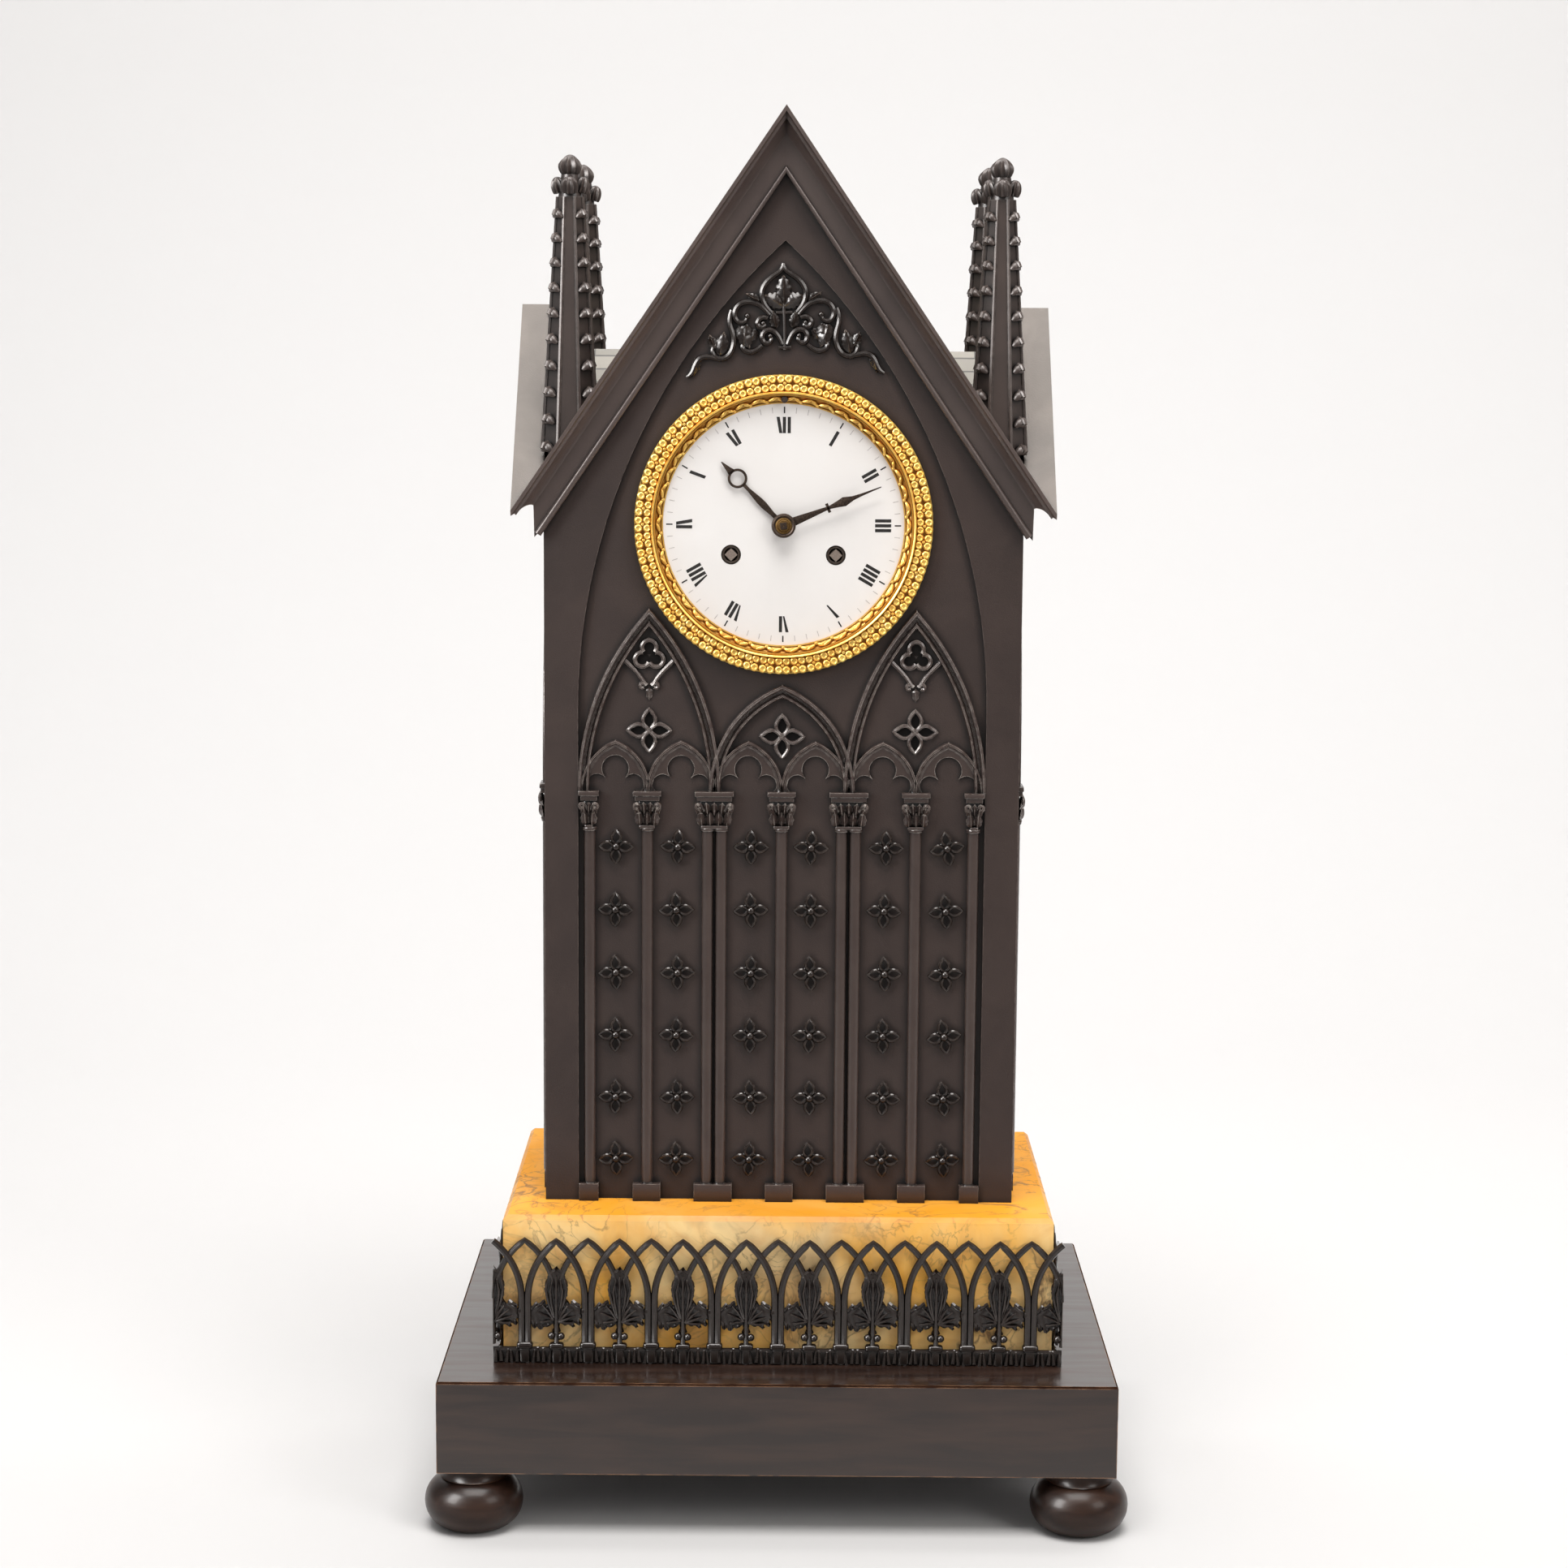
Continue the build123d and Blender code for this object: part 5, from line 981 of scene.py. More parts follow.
def quatrefoil():
    bm = bmesh.new()
    loop = wire([foilPetal(foils["petalLift"])], foils["wire"], cyclic=True)
    for turn in range(4):
        stamp(bm, loop, at(0, 0, foils["out"], 90 * turn))
    return shape(bm)


def trefoil():
    f = foils
    bm = bmesh.new()
    sweep = f["lobeSweep"]
    lobes = [[(*p, f["out"]) for p in circlePath(x, y, f["lobe"], turn - sweep / 2, sweep, 16)]
             for turn, x, y in lobeSpots()]
    stamp(bm, wire(lobes, f["lobeWire"]), asDrawn)
    stamp(bm, wire(pairOf(trefoilArm), f["armWire"], "NURBS"), asDrawn)
    stamp(bm, wire(pairOf(trefoilCurl), f["curlWire"], "NURBS"), asDrawn)
    leaf = leafShape(f["leafTall"], f["leafWide"], 2, dome=0.22, thick=0.6, rows=8)
    stamp(bm, leaf, at(0, -f["leafDown"], f["leafOut"], 180))
    return shape(bm)


def quatreGround():
    bm = bmesh.new()
    petal = cutPlate([[(x, y) for x, y, z in foilPetal()]], foils["ground"])
    for turn in range(4):
        stamp(bm, petal, at(0, 0, foils["groundOut"], 90 * turn))
    return shape(bm)


def treGround():
    bm = bmesh.new()
    for turn, x, y in lobeSpots():
        disc = cutPlate([circlePath(x, y, foils["lobe"])], foils["ground"])
        stamp(bm, disc, at(0, 0, foils["groundOut"]))
    return shape(bm)


def foilSet(four, three):
    bm = bmesh.new()
    place = onPanel(level["capitalTop"])
    for side in (-1, 1):
        stamp(bm, four, place @ at(side * foils["side"], foils["quatreUp"]))
        stamp(bm, three, place @ at(side * foils["side"], foils["treUp"]))
    stamp(bm, four, place @ at(0, foils["midUp"]))
    return bm


piece("tracery", foilSet(quatrefoil(), trefoil()), arcadeSheenBronze,
      replaced=("tracery_foils",))
# painted shade: dark plates under the foils stand in for their deep hollows
piece("traceryShade", foilSet(quatreGround(), treGround()), paintedShadeBronze)

# rosettes: four pointed petals, a bead between each two and a boss, none quite level
rosette = {"columns": (11.9, 41.3, 65.7), "rows": 6, "first": 16.9, "step": 25.45, "petalStart": 1.1,
           "petal": 6.6, "petalHalf": 1.8, "petalLift": 0.9, "petalOut": 1.3, "wire": 0.66, "beadAcross": 2.7,
           "beadOut": 1.0, "bead": 0.9, "boss": 1.65, "bossOut": 1.9, "wobble": 3.0, "shift": 0.3,
           "outerTurn": 7}


def rosetteShape():
    r = rosette
    bm = bmesh.new()
    loop = pointedLoop(r["petalStart"], r["petal"], r["petalHalf"], r["petalLift"], 9)
    petal = wire([loop], r["wire"], cyclic=True, sides=1)
    for turn in range(4):
        stamp(bm, petal, at(0, 0, r["petalOut"], 90 * turn))
        spot = at(0, 0, 0, 45 + 90 * turn) @ Matrix.Translation((0, r["beadAcross"], r["beadOut"]))
        ball(bm, spot, r["bead"], 8, 5)
    ball(bm, raised(r["bossOut"]), r["boss"], 12, 7)
    return shape(bm)


def rosettes():
    r = rosette
    bm = bmesh.new()
    place = onPanel(level["caseBottom"])
    flower = rosetteShape()
    for side in (-1, 1):
        for column, x in enumerate(r["columns"]):
            outer = r["outerTurn"] if side * x == r["columns"][-1] else 0
            for row in range(r["rows"]):
                turn = r["wobble"] * sin(row * 2.1 + column * 1.3 + side) + outer
                shift = r["shift"] * sin(row * 3.3 + x)
                stamp(bm, flower, place @ at(side * x + shift, r["first"] + row * r["step"], 0, turn))
    piece("rosettes", bm, castBronze, replaced=("rosettes",))


rosettes()
print("foils and rosettes built")

# scrolled ornament over the dial, its right half drawn as (across, up)
scrolls = {"foot": 460.6, "tilt": 1.6, "wire": 1.05, "thin": 0.65, "swell": 0.5, "out": 1.0, "stem": 0.75,
           "leafUp": 17.0, "leafOut": 0.5, "berryOut": 1.2, "longer": 1.12, "wider": 1.15}
scrollPaths = [
    [(4.4, 14.2), (7.2, 16.8), (9.0, 20.8), (8.0, 25.2), (4.4, 28.6), (1.2, 30.2), (0.3, 31.6), (0.0, 33.4)],
    [(5.6, 13.8), (8.6, 17.8), (13.6, 19.8), (18.4, 18.0), (19.8, 13.6), (17.6, 10.4), (14.6, 11.2),
     (14.2, 14.0)],
    [(20.4, 16.0), (21.9, 12.0), (20.2, 8.0), (19.4, 3.2), (21.4, -1.6), (25.2, -3.2), (28.6, -1.0),
     (28.2, 2.2), (26.4, 2.6)],
    [(25.0, -3.0), (29.6, -1.4), (33.2, -1.6), (35.4, -5.2), (36.4, -8.6), (38.4, -9.4)],
    [(6.4, 12.6), (8.2, 13.4), (10.4, 12.0), (10.6, 9.8), (8.6, 8.6), (7.2, 9.8), (8.4, 11.0)],
    [(1.0, 2.4), (2.4, 6.6), (6.0, 9.2), (9.2, 6.4), (8.4, 3.0), (5.8, 2.6), (4.6, 5.0), (6.2, 6.2)],
    [(8.8, 2.2), (11.6, -0.4), (14.6, -0.4), (17.0, 1.2), (16.2, 3.4), (14.2, 2.8)],
]
# fronds: across, up, turn, length, width
scrollFronds = ((17.2, 9.6, 158, 8.0, 5.6), (14.8, 9.8, 190, 7.0, 5.0), (25.4, -1.6, 12, 8.2, 4.6),
                (33.6, -1.6, 196, 6.6, 3.4), (3.4, 9.0, -10, 5.4, 3.2), (10.8, 8.4, 210, 5.4, 3.4),
                (9.6, 19.2, -60, 5.0, 2.4), (27.0, 1.6, -24, 4.6, 3.0))
# berries at the hearts of the scrolls: across, up, radius
scrollBerries = ((14.3, 13.6, 1.2), (27.2, 2.2, 1.1), (8.2, 10.6, 1.0), (5.6, 5.6, 1.1), (15.0, 2.6, 0.9))
topLeaves = ((0, 11.6, 6.2), (60, 8.4, 6.0), (-60, 8.4, 6.0))  # turn, length, width
scrollStems = [[(0, 0.4, 0.9), (0, 18.0, 1.2)], [(-3.2, 14.6, 1.0), (3.2, 14.6, 1.0)],
               [(-2.4, 1.2, 1.0), (2.4, 1.2, 1.0)]]


def gableOrnament():
    s = scrolls
    bm = bmesh.new()
    place = onPanel(s["foot"]) @ at(0, 0, 0, s["tilt"])
    for side in (-1, 1):
        paths = []
        for path in scrollPaths:
            last = len(path) - 1
            paths.append([(side * x, y, s["out"], s["thin"] + s["swell"] * sin(pi * (0.15 + 0.85 * i / last)))
                          for i, (x, y) in enumerate(path)])
        stamp(bm, wire(paths, s["wire"], "NURBS"), place)
        for x, y, turn, length, wide in scrollFronds:
            frond = leafShape(length * s["longer"], wide * s["wider"], 4, dome=0.2, curl=0.5, thick=0.6,
                              rows=16, vein=0.6)
            stamp(bm, frond, place @ at(side * x, y, s["leafOut"], side * turn))
        for x, y, radius in scrollBerries:
            ball(bm, place @ Matrix.Translation((side * x, y, s["berryOut"])), radius)
    for turn, length, wide in topLeaves:
        leaf = leafShape(length, wide, 4, rows=16, vein=0.8, swell=1.1, full=0.6, bite=0.4)
        stamp(bm, leaf, place @ at(0, s["leafUp"], s["leafOut"], turn))
    stamp(bm, wire(scrollStems, s["stem"]), place)
    piece("gableOrnament", bm, castBronze, replaced=("gable_ornament",))


gableOrnament()

# a rounded bead along the foot of the front raking cornice
rakeBead = {"reach": 3.3, "drop": 2.3, "radius": 1.5, "short": 1.2}


def corniceBead():
    r = rakeBead
    end = level["halfWidth"] + r["reach"] - r["short"]
    low = level["eaves"] - r["drop"]
    path = [(-end, low), (0, low + level["rakeSlope"] * end), (end, low)]
    bm = bmesh.new()
    stamp(bm, wire([path], r["radius"], sides=4), onFront(level["caseFront"] - r["reach"]))
    # in the lighter cornice bronze, painted lighter for the light on the rake
    piece("corniceBead", bm, litCorniceBronze)


corniceBead()

# blind arcades on the flanks, in lower relief
flank = {"bay": arcade["bay"], "rise": 70.8, "relief": 0.77, "footShare": 0.55}


def flankArcades():
    bm = bmesh.new()
    bay = flank["bay"]
    arch = archBand(bay / 2, flank["rise"], bigSection)
    for side in (-1, 1):
        wall = raised(level["caseBottom"]) @ onFlank(side * level["halfWidth"], side)
        place = wall @ at(side * caseMiddle, 0) @ Matrix.Diagonal((1, 1, flank["relief"], 1))
        spots = [-bay, 0, bay]
        shaftsInto(bm, spots, place)
        for x in spots:
            columnFoot(bm, x, arcade["footWide"], arcade["reach"] * flank["footShare"], place)
            stamp(bm, capitalSingle, place @ at(x, capitalFoot))
        for x in (-bay / 2, bay / 2):
            stamp(bm, arch, place @ at(x, capitalUp))
    piece("flankArcades", bm, arcadeSheenBronze, replaced=("side_arcades",))


flankArcades()
print("ornament built")

# corner pinnacles: octagon, raised arrises, crockets on the diagonals, budded finial
spire = {"inset": 10.0, "base": edgeOf("pinnacles", "z", min), "tall": 124.0, "foot": 12.5, "neck": 5.0,
         "footInset": 0.25, "neckInset": 0.15, "arris": 0.75, "rows": 11, "first": 512.5, "step": 9.25,
         "growth": 0.18, "bud": 0.98, "budGrowth": 0.022, "collarTall": 9.0, "collarUp": 4.0,
         "collarFoot": 0.95, "collarTop": 0.7, "sideBudOut": 4.4, "sideBudUp": 3.6, "sideBudLean": 16,
         "sideBudFlat": 0.85, "topBudUp": 11.4, "crest": 24.8, "flankSlope": 1.28, "keepDeep": 47.4,
         "keepWide": 91.2}


crocket = {"wide": 2.7, "deep": 1.7, "out": 1.1, "sweep": 0.5, "tall": 1.6, "droop": 1.3, "nod": 0.4,
           "knob": [(0, 0.6, 1.5, 0.7), (0, 2.3, 0.9, 1.0), (0, 3.2, -0.6, 0.8)], "knobWire": 0.9}
sideBudForm = {"radius": 3.6, "tall": 8.4, "pinch": 0.0, "floor": -0.5}
topBudForm = {"radius": 4.7, "tall": 9.6, "pinch": 0.15, "facet": 0.32}


# a winged bud whose tips droop, with a knob in front
def crocketShape():
    c = crocket
    bm = bmesh.new()
    for vert in ball(bm, asDrawn, 1.0, 14, 8):
        x, y, z = vert.co
        vert.co = (c["wide"] * x, c["deep"] * y + c["out"] - c["sweep"] * x * x,
                   c["tall"] * z - c["droop"] * x * x - c["nod"] * max(y, 0.0))
    stamp(bm, wire([c["knob"]], c["knobWire"]), asDrawn)
    return shape(bm)


# a gadrooned bud, its underside cut flat at the floor and its top pressed to facets
def budShape(radius, tall, pinch, floor=-1.0, facet=0.0, ribs=9, groovesDeep=0.28, facetFrom=0.3):
    bm = bmesh.new()
    for vert in ball(bm, asDrawn, 1.0, ribs * 4, 14):
        turn = Vector((vert.co.x, vert.co.y))
        angle = turn.angle_signed(Vector((1, 0)), 0.0) if turn.length > 1e-4 else 0.0
        groove = 1.0 - groovesDeep * (0.5 + 0.5 * cos(ribs * angle)) * turn.length
        lift = max(vert.co.z, floor)
        narrow = 1.0 - pinch * max(0.0, -lift)
        if facet and lift > facetFrom:
            groove *= 1.0 - facet * (lift - facetFrom) * (1.0 + 0.6 * cos(4 * angle))
        vert.co = (vert.co.x * radius * groove * narrow, vert.co.y * radius * groove * narrow,
                   lift * tall / 2)
    return shape(bm)


def aboutAxis(turn):
    return Matrix.Rotation(turn, 4, "Z")


def pinnacleShape():
    s = spire
    bm = bmesh.new()
    top = s["base"] + s["tall"]
    flatToCorner = 1 / cos(pi / 8)
    low = (s["foot"] - s["footInset"]) * flatToCorner
    high = (s["neck"] - s["neckInset"]) * flatToCorner
    middle = raised(s["base"] + s["tall"] / 2) @ aboutAxis(pi / 8)
    bmesh.ops.create_cone(bm, cap_ends=True, segments=8, radius1=low, radius2=high, depth=s["tall"],
                          matrix=middle)
    turns = [pi / 8 + i * pi / 4 for i in range(8)]
    arrises = [[(low * cos(turn), low * sin(turn), s["base"], 1.25),
                (high * cos(turn), high * sin(turn), top, 0.8)] for turn in turns]
    stamp(bm, wire(arrises, s["arris"], sides=1), asDrawn)
    leafBud = crocketShape()
    for row in range(s["rows"]):
        height = s["first"] - row * s["step"] - s["growth"] * row * (row - 1) / 2
        reach = s["foot"] + (s["neck"] - s["foot"]) * (height - s["base"]) / s["tall"]
        size = s["bud"] + s["budGrowth"] * row
        for i in range(4):
            place = aboutAxis(pi / 4 + i * pi / 2) @ Matrix.Translation((0, -reach - 0.2, height))
            stamp(bm, leafBud, place @ aboutAxis(pi) @ Matrix.Scale(size, 4))
    bmesh.ops.create_cone(bm, cap_ends=True, segments=16, radius1=s["neck"] * s["collarFoot"],
                          radius2=s["neck"] * s["collarTop"], depth=s["collarTall"],
                          matrix=raised(top + s["collarUp"]))
    sideBud = budShape(**sideBudForm)
    lean = Matrix.Rotation(radians(s["sideBudLean"]), 4, "X")
    for i in range(4):
        spot = Matrix.Translation((0, -s["sideBudOut"], top + s["sideBudUp"]))
        flatter = Matrix.Diagonal((1.0, s["sideBudFlat"], 1.0, 1))
        stamp(bm, sideBud, aboutAxis(i * pi / 2) @ spot @ lean @ flatter)
    stamp(bm, budShape(**topBudForm), raised(top + s["topBudUp"]))
    return shape(bm)


# below a gable's rake, what stands out past the wall is cut away
def trimBehind(bm, rakePoint, rakeNormal, wallPoint, wallNormal):
    parted = bmesh.ops.bisect_plane(bm, geom=everyPart(bm), plane_co=rakePoint, plane_no=rakeNormal)
    seam = [e for e in parted["geom_cut"] if isinstance(e, bmesh.types.BMEdge)]
    bmesh.ops.split_edges(bm, edges=seam)
    point = Vector(rakePoint)
    low = [f for f in bm.faces if (f.calc_center_median() - point).dot(rakeNormal) < 0]
    edges = {e for f in low for e in f.edges}
    verts = {v for f in low for v in f.verts}
    bmesh.ops.bisect_plane(bm, geom=[*verts, *edges, *low], plane_co=wallPoint, plane_no=wallNormal,
                           clear_outer=True)


def pinnacles():
    s = spire
    bm = bmesh.new()
    spike = pinnacleShape()
    crest = level["eaves"] + s["crest"]
    halfDepth = level["caseBack"] - caseMiddle
    for sideX in (-1, 1):
        for sideY, y in ((-1, level["caseFront"] + s["inset"]), (1, level["caseBack"] - s["inset"])):
            x = sideX * (level["halfWidth"] - s["inset"])
            made = bmesh.new()
            made.from_mesh(spike)
            bmesh.ops.transform(made, matrix=Matrix.Translation((x, y, 0)), verts=made.verts)
            rake = Vector((sideX * level["rakeSlope"], 0, 1)).normalized()
            trimBehind(made, (sideX * level["halfWidth"], y, crest), rake,
                       (x, caseMiddle + sideY * s["keepDeep"], 0), (0, sideY, 0))
            rake = Vector((0, sideY * s["flankSlope"], 1)).normalized()
            trimBehind(made, (x, caseMiddle + sideY * halfDepth, crest), rake,
                       (sideX * s["keepWide"], y, 0), (sideX, 0, 0))
            stamp(bm, shape(made), asDrawn)
    piece("pinnacles", bm, pinnacleBronze, replaced=("pinnacles",), sharp=32)


pinnacles()
print("pinnacles built")

# bezel: a band of four-lobed florets and a fillet, with a leafy slip inside it
bezel = {"outer": 58.4, "inner": 51.0, "florets": 56, "orbit": 55.0, "floretOut": 3.6, "across": 1.48,
         "apart": 1.7, "lobe": 1.76, "lobeOut": 0.2, "heart": 0.8, "heartOut": 1.0, "around": 120}
slip = {"inner": 47.2, "outer": edgeOf("bezel_slip", "x", max), "leaves": 46, "leafTilt": 30, "leafOut": 1.7,
        "leafLong": 2.3, "leafWide": 0.78, "leafThick": 0.9, "beadAlong": 3.1, "beadUp": 48.0, "beadOut": 1.4,
        "bead": 0.75}
slipLeaves = ((24, -1.2, 49.1, 1.0), (-34, 1.7, 48.9, 0.72))  # lean, along, up, size


def dialPlace(y):
    return raised(level["dialZ"]) @ onFront(y)


def floretShape():
    b = bezel
    bm = bmesh.new()
    petal = [(0, 0.95), (0.55, 0.9), (1.0, 1.15), (1.4, 1.0), (b["lobe"], 0.5), (b["lobe"], -0.4)]
    for sx in (-1, 1):
        for sy in (-1, 1):
            turned(bm, petal, Matrix.Translation((sx * b["across"], sy * b["apart"], b["lobeOut"])), 10)
    ball(bm, raised(b["heartOut"]), b["heart"], 7, 4)
    return shape(bm)


def bezelBand():
    b = bezel
    bm = bmesh.new()
    place = dialPlace(level["panelFront"])
    inner, outer = b["inner"], b["outer"]
    ring = [(inner, 0), (outer, 0), (outer, 2.6), (outer - 0.5, 3.4), (inner + 7.0, 3.2), (inner + 1.0, 3.4),
            (inner + 0.9, 5.4), (inner + 0.5, 5.9), (inner, 5.6), (inner, 0)]
    turned(bm, ring, place, b["around"])
    floret = floretShape()
    for i in range(b["florets"]):
        stamp(bm, floret, place @ at(0, 0, 0, 360 * i / b["florets"]) @ at(0, b["orbit"], b["floretOut"]))
    piece("bezel", bm, chasedGilt, replaced=("bezel",))


def bezelSlip():
    s = slip
    bm = bmesh.new()
    place = dialPlace(level["dialFace"])
    inner, outer = s["inner"], s["outer"]
    ring = [(inner, 0), (outer, 0), (outer, 3.0), (outer - 0.6, 3.1), (outer - 0.9, 1.5), (inner + 0.6, 0.3),
            (inner + 0.5, 0.8), (inner, 0.7), (inner, 0)]
    turned(bm, ring, place, bezel["around"])
    tilt = Matrix.Rotation(radians(s["leafTilt"]), 4, "X")
    for i in range(s["leaves"]):
        turn = place @ aboutAxis(2 * pi * (i + 0.5) / s["leaves"])
        for lean, along, up, size in slipLeaves:
            body = Matrix.Translation((along, up, s["leafOut"])) @ tilt @ aboutAxis(radians(lean))
            drawn = Matrix.Diagonal((s["leafLong"] * size, s["leafWide"], s["leafThick"], 1))
            ball(bm, turn @ body @ drawn, 1.0, 8, 5)
        ball(bm, turn @ Matrix.Translation((s["beadAlong"], s["beadUp"], s["beadOut"])), s["bead"], 7, 4)
    piece("bezelSlip", bm, chasedGilt, replaced=("bezel_slip",))


bezelBand()
bezelSlip()
print("bezel built")

# enamel dial with its painted chapter ring
dial = {"radius": edgeOf("dial", "x", max), "dome": 0.8, "domeRadius": 46.5, "domeRings": 14, "thick": 1.5,
        "hole": 3.9, "centreHole": 4.0, "holeDeep": 10, "windX": middleOf("going_arbor", "x"),
        "windDown": level["dialZ"] - middleOf("going_arbor", "z"),
        "regulatorUp": middleOf("regulator_arbor", "z") - level["dialZ"],
        "regulatorHole": 1.3, "numeral": 38.9, "tall": 6.3, "stroke": 1.25, "gap": 1.9, "numeralThick": 0.06,
        "pointShare": 0.45, "tick": 44.7, "fiveHalf": (0.27, 1.25), "minuteHalf": (0.14, 1.1),
        "tickThick": 0.04, "paint": 0.02}
numerals = ("XII", "I", "II", "III", "IIII", "V", "VI", "VII", "VIII", "IX", "X", "XI")
strokeLean = {"I": 0.0, "X": 0.55, "V": 0.7}  # thick strokes only: the hairlines have worn away


def enamelDial():
    d = dial
    bm = bmesh.new()
    profile = [(0, 0), (d["radius"], 0), (d["radius"], d["thick"])]
    for i in range(d["domeRings"] + 1):
        run = 1 - i / d["domeRings"]
        profile.append((d["domeRadius"] * run, d["thick"] + d["dome"] * (1 - run**2)))
    turned(bm, profile, asDrawn, bezel["around"])
    plate = bpy.data.objects.new("dialBlank", shape(bm))
    cutters = bmesh.new()
    for x, y, radius in ((-d["windX"], -d["windDown"], d["hole"]), (d["windX"], -d["windDown"], d["hole"]),
                         (0, 0, d["centreHole"]), (0, d["regulatorUp"], d["regulatorHole"])):
        bmesh.ops.create_cone(cutters, cap_ends=True, segments=40, radius1=radius, radius2=radius,
                              depth=d["holeDeep"], matrix=Matrix.Translation((x, y, 0)))
    cutter = bpy.data.objects.new("dialHoles", shape(cutters))
    for made in (plate, cutter):
        scene.collection.objects.link(made)
    cut = plate.modifiers.new("holes", "BOOLEAN")
    cut.operation = "DIFFERENCE"
    cut.solver = "EXACT"
    cut.object = cutter
    mesh = evaluated(plate)
    bpy.data.objects.remove(plate)
    bpy.data.objects.remove(cutter)
    bm = bmesh.new()
    stamp(bm, mesh, dialPlace(level["panelFront"]))
    piece("enamelDial", bm, whiteEnamel, replaced=("dial",), sharp=30)


def paintNumerals(paint):
    d = dial
    half, tall = d["stroke"] / 2, d["tall"] / 2
    for hour, marks in enumerate(numerals):
        for i, mark in enumerate(marks):
            x = (i - (len(marks) - 1) / 2) * d["gap"]
            lean = strokeLean[mark]
            foot = half if mark != "V" else half * d["pointShare"]
            outline = [(x - half - lean, tall), (x + half - lean, tall), (x + foot + lean, -tall),
                       (x - foot + lean, -tall)]
            stroke = cutPlate([outline], d["numeralThick"])
            stamp(paint, stroke, at(0, 0, 0, -30 * hour) @ at(0, d["numeral"]))


def paintTicks(fiveMinutes, minutes):
    for minute in range(60):
        strong = minute % 5 == 0
        wide, tall = dial["fiveHalf"] if strong else dial["minuteHalf"]
        bar = cutPlate([[(-wide, tall), (wide, tall), (wide, -tall), (-wide, -tall)]], dial["tickThick"])
        stamp(fiveMinutes if strong else minutes, bar, at(0, 0, 0, -6 * minute) @ at(0, dial["tick"]))


def paintedDial():
    d = dial
    black, grey = bmesh.new(), bmesh.new()
    paintNumerals(black)
    paintTicks(black, grey)
    for paint in (black, grey):  # laid on the dome
        for vert in paint.verts:
            out = min(hypot(vert.co.x, vert.co.y) / d["domeRadius"], 1.0)
            vert.co.z += d["dome"] * (1 - out**2) + d["paint"]
        bmesh.ops.transform(paint, matrix=dialPlace(level["dialFace"]), verts=paint.verts)
    piece("dialNumerals", black, blackPaint)
    piece("dialTicks", grey, greyPaint)


enamelDial()
paintedDial()
print("dial built")

# hands: a ringed hour hand, a barbed minute hand and the collet on the squared arbor
hands = {"hourTurn": 45.0, "minuteTurn": -68.0, "hourY": edgeOf("hour_hand", "y", max),
         "minuteY": edgeOf("minute_hand", "y", max), "thick": 0.7, "moonUp": 25.6, "moon": 3.7,
         "moonInner": 2.95, "hourTip": 34.5, "minuteTip": 40.8, "crossbar": 18.7, "barHalf": 1.75,
         "hourHub": 4.0, "hourBore": 2.65, "minuteHub": 4.3, "minuteBore": 1.85, "edge": 0.12, "tipEdge": 0.1}
collet = {"rim": [(1.05, 0), (4.75, 0), (4.75, 0.7), (4.4, 1.25), (3.9, 1.4), (3.4, 1.15), (3.3, 0.8),
                  (1.05, 0.8), (1.05, 0)],
          "boss": [(1.06, 0.75), (3.2, 0.75), (3.2, 0.95), (2.6, 1.1), (2.4, 0.9), (2.1, 1.2), (1.06, 1.2),
                   (1.06, 0.75)],
          "square": 1.2, "squareThick": 1.4, "squareOut": 2.0, "squareTurn": 8, "dimple": 0.3}


def ringPlate(up, outer, inner, steps, innerSteps):
    rings = [circlePath(0, up, outer, steps=steps), circlePath(0, up, inner, steps=innerSteps)]
    return cutPlate(rings, hands["thick"], hands["edge"])


def handPiece(name, plates, y, turn, body, node):
    bm = bmesh.new()
    place = dialPlace(y) @ at(0, 0, hands["thick"] / 2, turn)
    for plate in plates:
        stamp(bm, plate, place)
    piece(name, bm, handSteel, body, (node,))


def hourHand():
    h = hands
    low = h["moonUp"] - h["moonInner"] - 0.4
    stem = [(0.9, 2.5), (0.75, 6.0), (1.25, 11.0), (1.2, 13.5), (0.55, 19.5), (0.6, low)]
    tip = [(1.5, h["moonUp"] + h["moonInner"] + 0.2), (0.95, h["moonUp"] + 5.0), (0.12, h["hourTip"])]
    handPiece("hourHand", [
        ringPlate(0, h["hourHub"], h["hourBore"], 40, 32),
        cutPlate([bothSides(stem)], h["thick"], h["edge"]),
        ringPlate(h["moonUp"], h["moon"], h["moonInner"], 48, 48),
        cutPlate([bothSides(tip)], h["thick"], h["tipEdge"]),
    ], h["hourY"], h["hourTurn"], "hour_hand", "hour_hand")


def minuteHand():
    h = hands
    blade = [(1.7, 3.0), (1.5, 6.0), (0.6, 17.8), (0.6, 19.6), (1.1, 22.5), (1.75, 25.4), (0.75, 29.0),
             (0.42, 32.5), (0.1, h["minuteTip"])]
    bar = [(h["barHalf"], h["crossbar"] + 0.4), (h["barHalf"], h["crossbar"] - 0.5)]
    handPiece("minuteHand", [
        ringPlate(0, h["minuteHub"], h["minuteBore"], 40, 32),
        cutPlate([bothSides(blade)], h["thick"], h["tipEdge"]),
        cutPlate([bothSides(bar)], h["thick"], h["edge"]),
    ], h["minuteY"], h["minuteTurn"], "minute_hand", "minute_hand")


